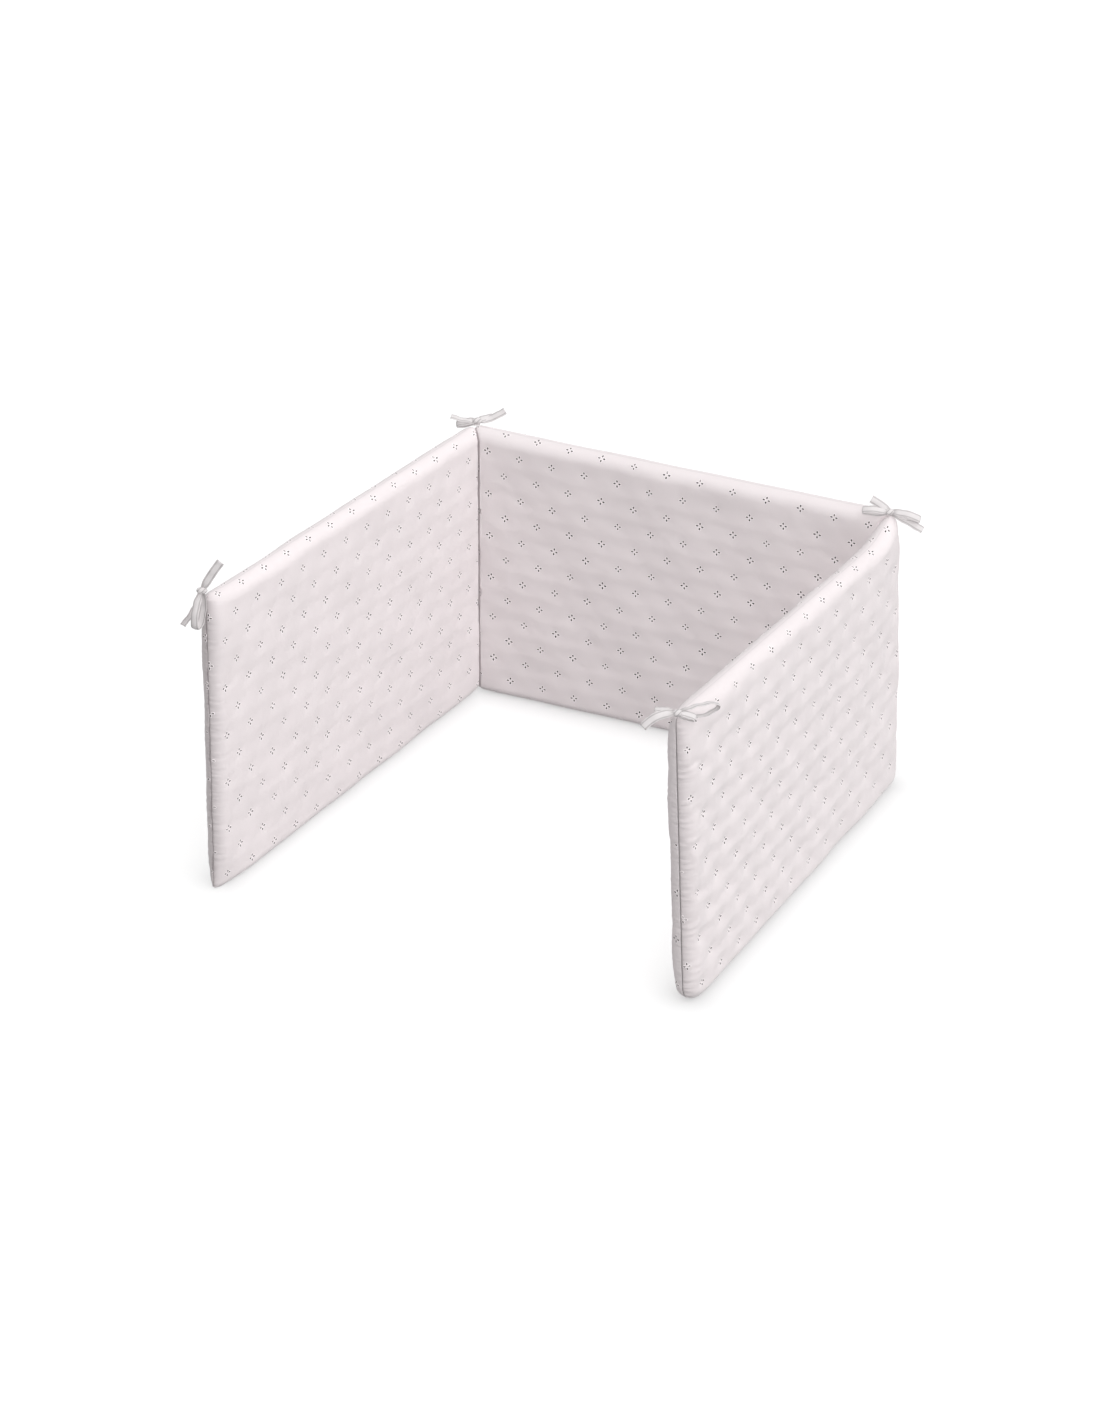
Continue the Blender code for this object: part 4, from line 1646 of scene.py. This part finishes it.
def gather_group() -> bpy.types.NodeTree:
    """Fine gathers beside the seams: noise drawn out away from each seam, as strong as its mark."""
    if "Seam gathers" in bpy.data.node_groups:
        return bpy.data.node_groups["Seam gathers"]
    bench = new_group("Seam gathers", {"Pitch": 0.0055, "Length": 0.025}, ["Height"])
    given, result = bench.tree.nodes["in"], bench.tree.nodes["out"]
    cloth = bench.add("ShaderNodeUVMap", uv_map="cloth")
    split = bench.add("ShaderNodeSeparateXYZ")
    bench.join(cloth.outputs["UV"], split, 0)
    total = None
    for mark_name, away, beside in (("end_gather", "X", "Y"), ("long_gather", "Y", "X")):
        place = bench.add("ShaderNodeCombineXYZ")
        bench.join(bench.maths("DIVIDE", split.outputs[away], given.outputs["Length"]), place, "X")
        bench.join(bench.maths("DIVIDE", split.outputs[beside], given.outputs["Pitch"]), place, "Y")
        noise = bench.add("ShaderNodeTexNoise", Scale=1.0, Detail=1.5)
        bench.join(place.outputs[0], noise, "Vector")
        mark = bench.add("ShaderNodeAttribute", attribute_name=mark_name)
        level = bench.maths("SUBTRACT", noise.outputs[0], 0.5)
        gathered = bench.maths("MULTIPLY", level, mark.outputs["Fac"])
        total = gathered if total is None else bench.maths("ADD", total, gathered)
    bench.join(total, result, "Height")
    return bench.tree


# ---------------------------------------------------------------- finishes
@dataclass(frozen=True)
class ClothFinish:
    """A woven cotton: its colour in light and shade, weave and sheen."""

    name: str
    colour: tuple[float, float, float]
    shade: tuple[float, float, float]
    roughness: float = 0.85
    sheen: float = 0.25
    sheen_roughness: float = 0.5
    pitch: float = 0.0008
    weave_depth: float = 0.00006
    tone_spread: float = 0.25
    mark: str = ""
    mark_colour: tuple[float, float, float] = (0.22, 0.19, 0.195)
    mark_strength: float = 0.95
    gather_depth: float = 0.0

    def material(self) -> bpy.types.Material:
        """The material, built at its first use."""
        if self.name in bpy.data.materials:
            return bpy.data.materials[self.name]
        material = bpy.data.materials.new(self.name)
        material.use_nodes = True
        bench = NodeBench(material.node_tree)
        shader = material.node_tree.nodes["Principled BSDF"]
        shader.inputs["Roughness"].default_value = self.roughness
        shader.inputs["Sheen Weight"].default_value = self.sheen
        shader.inputs["Sheen Roughness"].default_value = self.sheen_roughness
        weave = bench.add("ShaderNodeGroup", node_tree=weave_group())
        weave.inputs["Pitch"].default_value = self.pitch
        patches = bench.add("ShaderNodeGroup", node_tree=patch_group())

        tone = bench.maths("ADD", weave.outputs["Tone"], patches.outputs["Tone"])
        spread = bench.maths("MULTIPLY_ADD", tone, self.tone_spread, 0.5 - self.tone_spread)
        cloth = bench.blend(spread, self.shade, self.colour)
        if self.mark:
            mark = bench.add("ShaderNodeAttribute", attribute_name=self.mark)
            amount = bench.maths("MULTIPLY", mark.outputs["Fac"], self.mark_strength)
            cloth = bench.blend(amount, cloth, self.mark_colour)
        bench.join(cloth, shader, "Base Color")

        height = bench.maths("MULTIPLY", weave.outputs["Height"], self.weave_depth)
        if self.gather_depth:
            gathers = bench.add("ShaderNodeGroup", node_tree=gather_group()).outputs["Height"]
            height = bench.maths("MULTIPLY_ADD", gathers, self.gather_depth, height)
        bump = bench.add("ShaderNodeBump", Distance=1.0)
        bench.join(height, bump, "Height")
        bench.join(bump.outputs["Normal"], shader, "Normal")
        return material


@dataclass(frozen=True)
class CottonFinish(ClothFinish):
    """The pads' soft pale cotton, with shade painted in its seams and beside its free ends."""

    name: str = "pale cotton"
    colour: tuple[float, float, float] = (0.805, 0.747, 0.755)
    shade: tuple[float, float, float] = (0.675, 0.622, 0.631)
    # The seam mark paints shade in the seams' grooves and beside the free ends' seams.
    mark: str = "seam"
    gather_depth: float = 0.0019


@dataclass(frozen=True)
class RibbonFinish(ClothFinish):
    """The ties' tape, cut from a like cloth, with shade painted in its folds and on its undersides.
    """

    name: str = "cotton tape"
    colour: tuple[float, float, float] = (0.74, 0.71, 0.71)
    shade: tuple[float, float, float] = (0.58, 0.55, 0.555)
    pitch: float = 0.0006
    weave_depth: float = 0.00010
    # Darker along the hems, with shade painted in the folds and on the undersides.
    mark: str = "stitching"
    mark_colour: tuple[float, float, float] = (0.24, 0.22, 0.22)


@dataclass(frozen=True)
class SatinStitchFinish(ClothFinish):
    """The eyelets' close stitching, a little brighter and smoother than the cloth."""

    name: str = "satin stitch"
    colour: tuple[float, float, float] = (0.96, 0.905, 0.91)
    shade: tuple[float, float, float] = (0.86, 0.80, 0.81)
    roughness: float = 0.75
    sheen: float = 0.3
    pitch: float = 0.0004


@dataclass(frozen=True)
class EyeletHoleShadeFinish(ClothFinish):
    """What shows through an eyelet: the filling's own cloth, with the hole's shade painted in."""

    name: str = "eyelet hole shade"
    colour: tuple[float, float, float] = (0.24, 0.215, 0.22)
    shade: tuple[float, float, float] = (0.15, 0.135, 0.14)
    roughness: float = 0.95
    sheen: float = 0.0
    # The depth mark paints each face's holes darker still, as shade.
    mark: str = "depth"
    mark_colour: tuple[float, float, float] = (0.04, 0.034, 0.036)
    mark_strength: float = 1.0


# ---------------------------------------------------------------- studio
@dataclass(frozen=True)
class Studio:
    """A white floor, an even sky with lamps that cast no shadows, and the camera.

    A shadow is painted on the floor beside each panel's foot, dying out over contact_reach from
    contact_start on. contact_inset is the share of a foot's length that is lifted off at each end.
    """

    plan: BumperPlan
    floor_size: float = 60.0
    floor_colour: tuple[float, float, float] = (0.45, 0.45, 0.45)
    floor_drop: float = 0.0002
    floor_noise: float = 3.0
    floor_roughness: float = 0.85
    floor_unevenness: float = 0.1
    floor_glow: float = 0.56
    sky_strength: float = 0.522
    lamp_spread: float = 50.0
    lamps: tuple[tuple[float, tuple[float, float, float]], ...] = (
        (2.13, (0.51, -0.34, 0.60)), (0.30, (0.25, -0.25, 0.90)),
        (0.36, (0.50, 0.35, 0.75)), (0.14, (-0.50, 0.40, 0.75)),
    )
    bulb: tuple[float, tuple[float, float, float]] = (0.38, (0.24, 0.04, 0.22))
    bulb_size: float = 0.25
    contact_start: float = 0.007
    contact_reach: float = 0.028
    contact_inset: float = 0.045
    camera_place: tuple[float, float, float] = (1.73337, -4.02920, 2.766)
    camera_turn: tuple[float, float, float] = (59.51, 0.0, 23.42)
    camera_lens: float = 102.86

    def contact_shadow(self, bench: NodeBench) -> bpy.types.NodeSocket:
        """The shadow painted on the floor beside the panels' feet.

        Args:
            bench: The floor material's tree.

        Returns:
            The most over the panels of strength * exp((start - |p - a - t (b - a)|) / reach),
            with t held between the foot's two lifted ends.
        """
        place = bench.add("ShaderNodeTexCoord").outputs["Object"]
        darkest = None
        for name, shape in PADS.items():
            start, end = (
                (self.plan.lines[side.upright][0] - self.plan.shift) * ON_PLAN
                for side in (shape.start, shape.end)
            )
            from_start, share, walked, aside, length = (
                bench.add("ShaderNodeVectorMath", operation=operation)
                for operation in ("SUBTRACT", "DOT_PRODUCT", "SCALE", "SUBTRACT", "LENGTH")
            )
            bench.join(place, from_start, 0)
            from_start.inputs[1].default_value = start
            bench.join(from_start.outputs[0], share, 0)
            share.inputs[1].default_value = (end - start) / ((end - start) @ (end - start))
            bounded = bench.maths("MAXIMUM", share.outputs["Value"], self.contact_inset)
            bounded = bench.maths("MINIMUM", bounded, 1.0 - self.contact_inset)
            walked.inputs[0].default_value = end - start
            bench.join(bounded, walked, "Scale")
            bench.join(from_start.outputs[0], aside, 0)
            bench.join(walked.outputs[0], aside, 1)
            bench.join(aside.outputs[0], length, 0)
            beyond = bench.maths("SUBTRACT", self.contact_start, length.outputs["Value"])
            fading = bench.maths("EXPONENT", bench.maths("DIVIDE", beyond, self.contact_reach))
            # Painted shadow beside this panel's foot.
            painted_shade = bench.maths("MULTIPLY", fading, LOOKS[name].contact_shadow)
            darkest = painted_shade if darkest is None else bench.maths("MAXIMUM", darkest, painted_shade)
        return darkest

    def floor(self) -> None:
        """A plain white floor, just under the part, lit through from below as a light table is."""
        corners = self.floor_size / 2 * np.array([[-1, -1, 0], [1, -1, 0], [1, 1, 0], [-1, 1, 0]])
        corners[:, 2] = -self.floor_drop
        mesh = polygon_mesh("floor", corners, [(np.array([[0, 1, 2, 3]]), 0)])
        material = bpy.data.materials.new("floor white")
        material.use_nodes = True
        bench = NodeBench(material.node_tree)
        shader = material.node_tree.nodes["Principled BSDF"]
        shader.inputs["Base Color"].default_value = (*self.floor_colour, 1.0)
        noise = bench.add("ShaderNodeTexNoise", Scale=self.floor_noise).outputs[0]
        roughness = bench.maths("MULTIPLY_ADD", noise, self.floor_unevenness, self.floor_roughness)
        bench.join(roughness, shader, "Roughness")
        shader.inputs["Specular IOR Level"].default_value = 0.0
        shader.inputs["Emission Color"].default_value = (1.0, 1.0, 1.0, 1.0)
        path = bench.add("ShaderNodeLightPath")
        glow = bench.maths("MULTIPLY", path.outputs["Is Camera Ray"], self.floor_glow)
        # The glow is dimmed by the shadow painted beside the panels' feet.
        glow = bench.maths("MULTIPLY", glow, bench.maths("SUBTRACT", 1.0, self.contact_shadow(bench)))
        bench.join(glow, shader, "Emission Strength")
        mesh.materials.append(material)
        floor = bpy.data.objects.new("floor", mesh)
        bpy.context.scene.collection.objects.link(floor)

    @staticmethod
    def add_light(name: str, kind: str, strength: float) -> bpy.types.Object:
        """Add a light that casts no shadow.

        Args:
            name: The light's name.
            kind: Its kind.
            strength: Its strength.

        Returns:
            The light, not placed yet.
        """
        light = bpy.data.lights.new(name, kind)
        light.energy = strength
        light.use_shadow = False
        lamp = bpy.data.objects.new(name, light)
        bpy.context.scene.collection.objects.link(lamp)
        return lamp

    def lights(self) -> None:
        """An even sky, and lamps without shadows: a broad key, three weaker ones and a bulb.

        Seen by the camera itself the sky is white, so that no horizon shows.
        """
        world = bpy.data.worlds.new("studio")
        world.use_nodes = True
        background = world.node_tree.nodes["Background"]
        background.inputs["Color"].default_value = (1.0, 1.0, 1.0, 1.0)
        bench = NodeBench(world.node_tree)
        seen = bench.add("ShaderNodeLightPath").outputs["Is Camera Ray"]
        strength = bench.maths("MULTIPLY_ADD", seen, 1.0 - self.sky_strength, self.sky_strength)
        bench.join(strength, background, "Strength")
        bpy.context.scene.world = world
        for power, direction in self.lamps:
            lamp = self.add_light("lamp", "SUN", power)
            lamp.data.angle = math.radians(self.lamp_spread)
            lamp.rotation_euler = Vector(direction).to_track_quat("Z", "Y").to_euler()
        power, place = self.bulb
        bulb = self.add_light("bulb", "POINT", power)
        bulb.data.shadow_soft_size = self.bulb_size
        bulb.location = place

    def camera(self) -> None:
        """The photograph's viewing angle."""
        lens = bpy.data.cameras.new("camera")
        lens.lens = self.camera_lens
        camera = bpy.data.objects.new("camera", lens)
        camera.location = self.camera_place
        camera.rotation_euler = [math.radians(turn) for turn in self.camera_turn]
        bpy.context.scene.collection.objects.link(camera)
        bpy.context.scene.camera = camera

    def build(self) -> None:
        """Set up the whole studio, with plain colours shown as they are."""
        bpy.context.scene.view_settings.view_transform = "Standard"
        self.camera()
        self.floor()
        self.lights()


# ---------------------------------------------------------------- the whole part
@dataclass
class CribBumper:
    """The three panels and four ties."""

    plan: BumperPlan = field(default_factory=BumperPlan)

    def build(self) -> None:
        """Build and dress every piece."""
        pads = [PaddedPanel(name, self.plan) for name in PADS]
        self.plan.settle(pads)
        for pad in pads:
            pad.build(CottonFinish())
            EyeletEmbroidery(pad).build(SatinStitchFinish(), EyeletHoleShadeFinish())
        for name in TIES:
            seat = TIES[name][0].upright
            near = ["pad_" + pad.name.removeprefix("panel_") for pad in pads
                    if seat in (pad.shape.start.upright, pad.shape.end.upright)]
            RibbonTie(name, self.plan).build(RibbonFinish(), near)


def main() -> None:
    """Build the studio and the part."""
    logging.basicConfig(level=logging.INFO, format="%(name)s %(message)s")
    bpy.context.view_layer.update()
    bumper = CribBumper()
    bumper.build()
    Studio(bumper.plan).build()


if __name__ == "__main__":
    main()
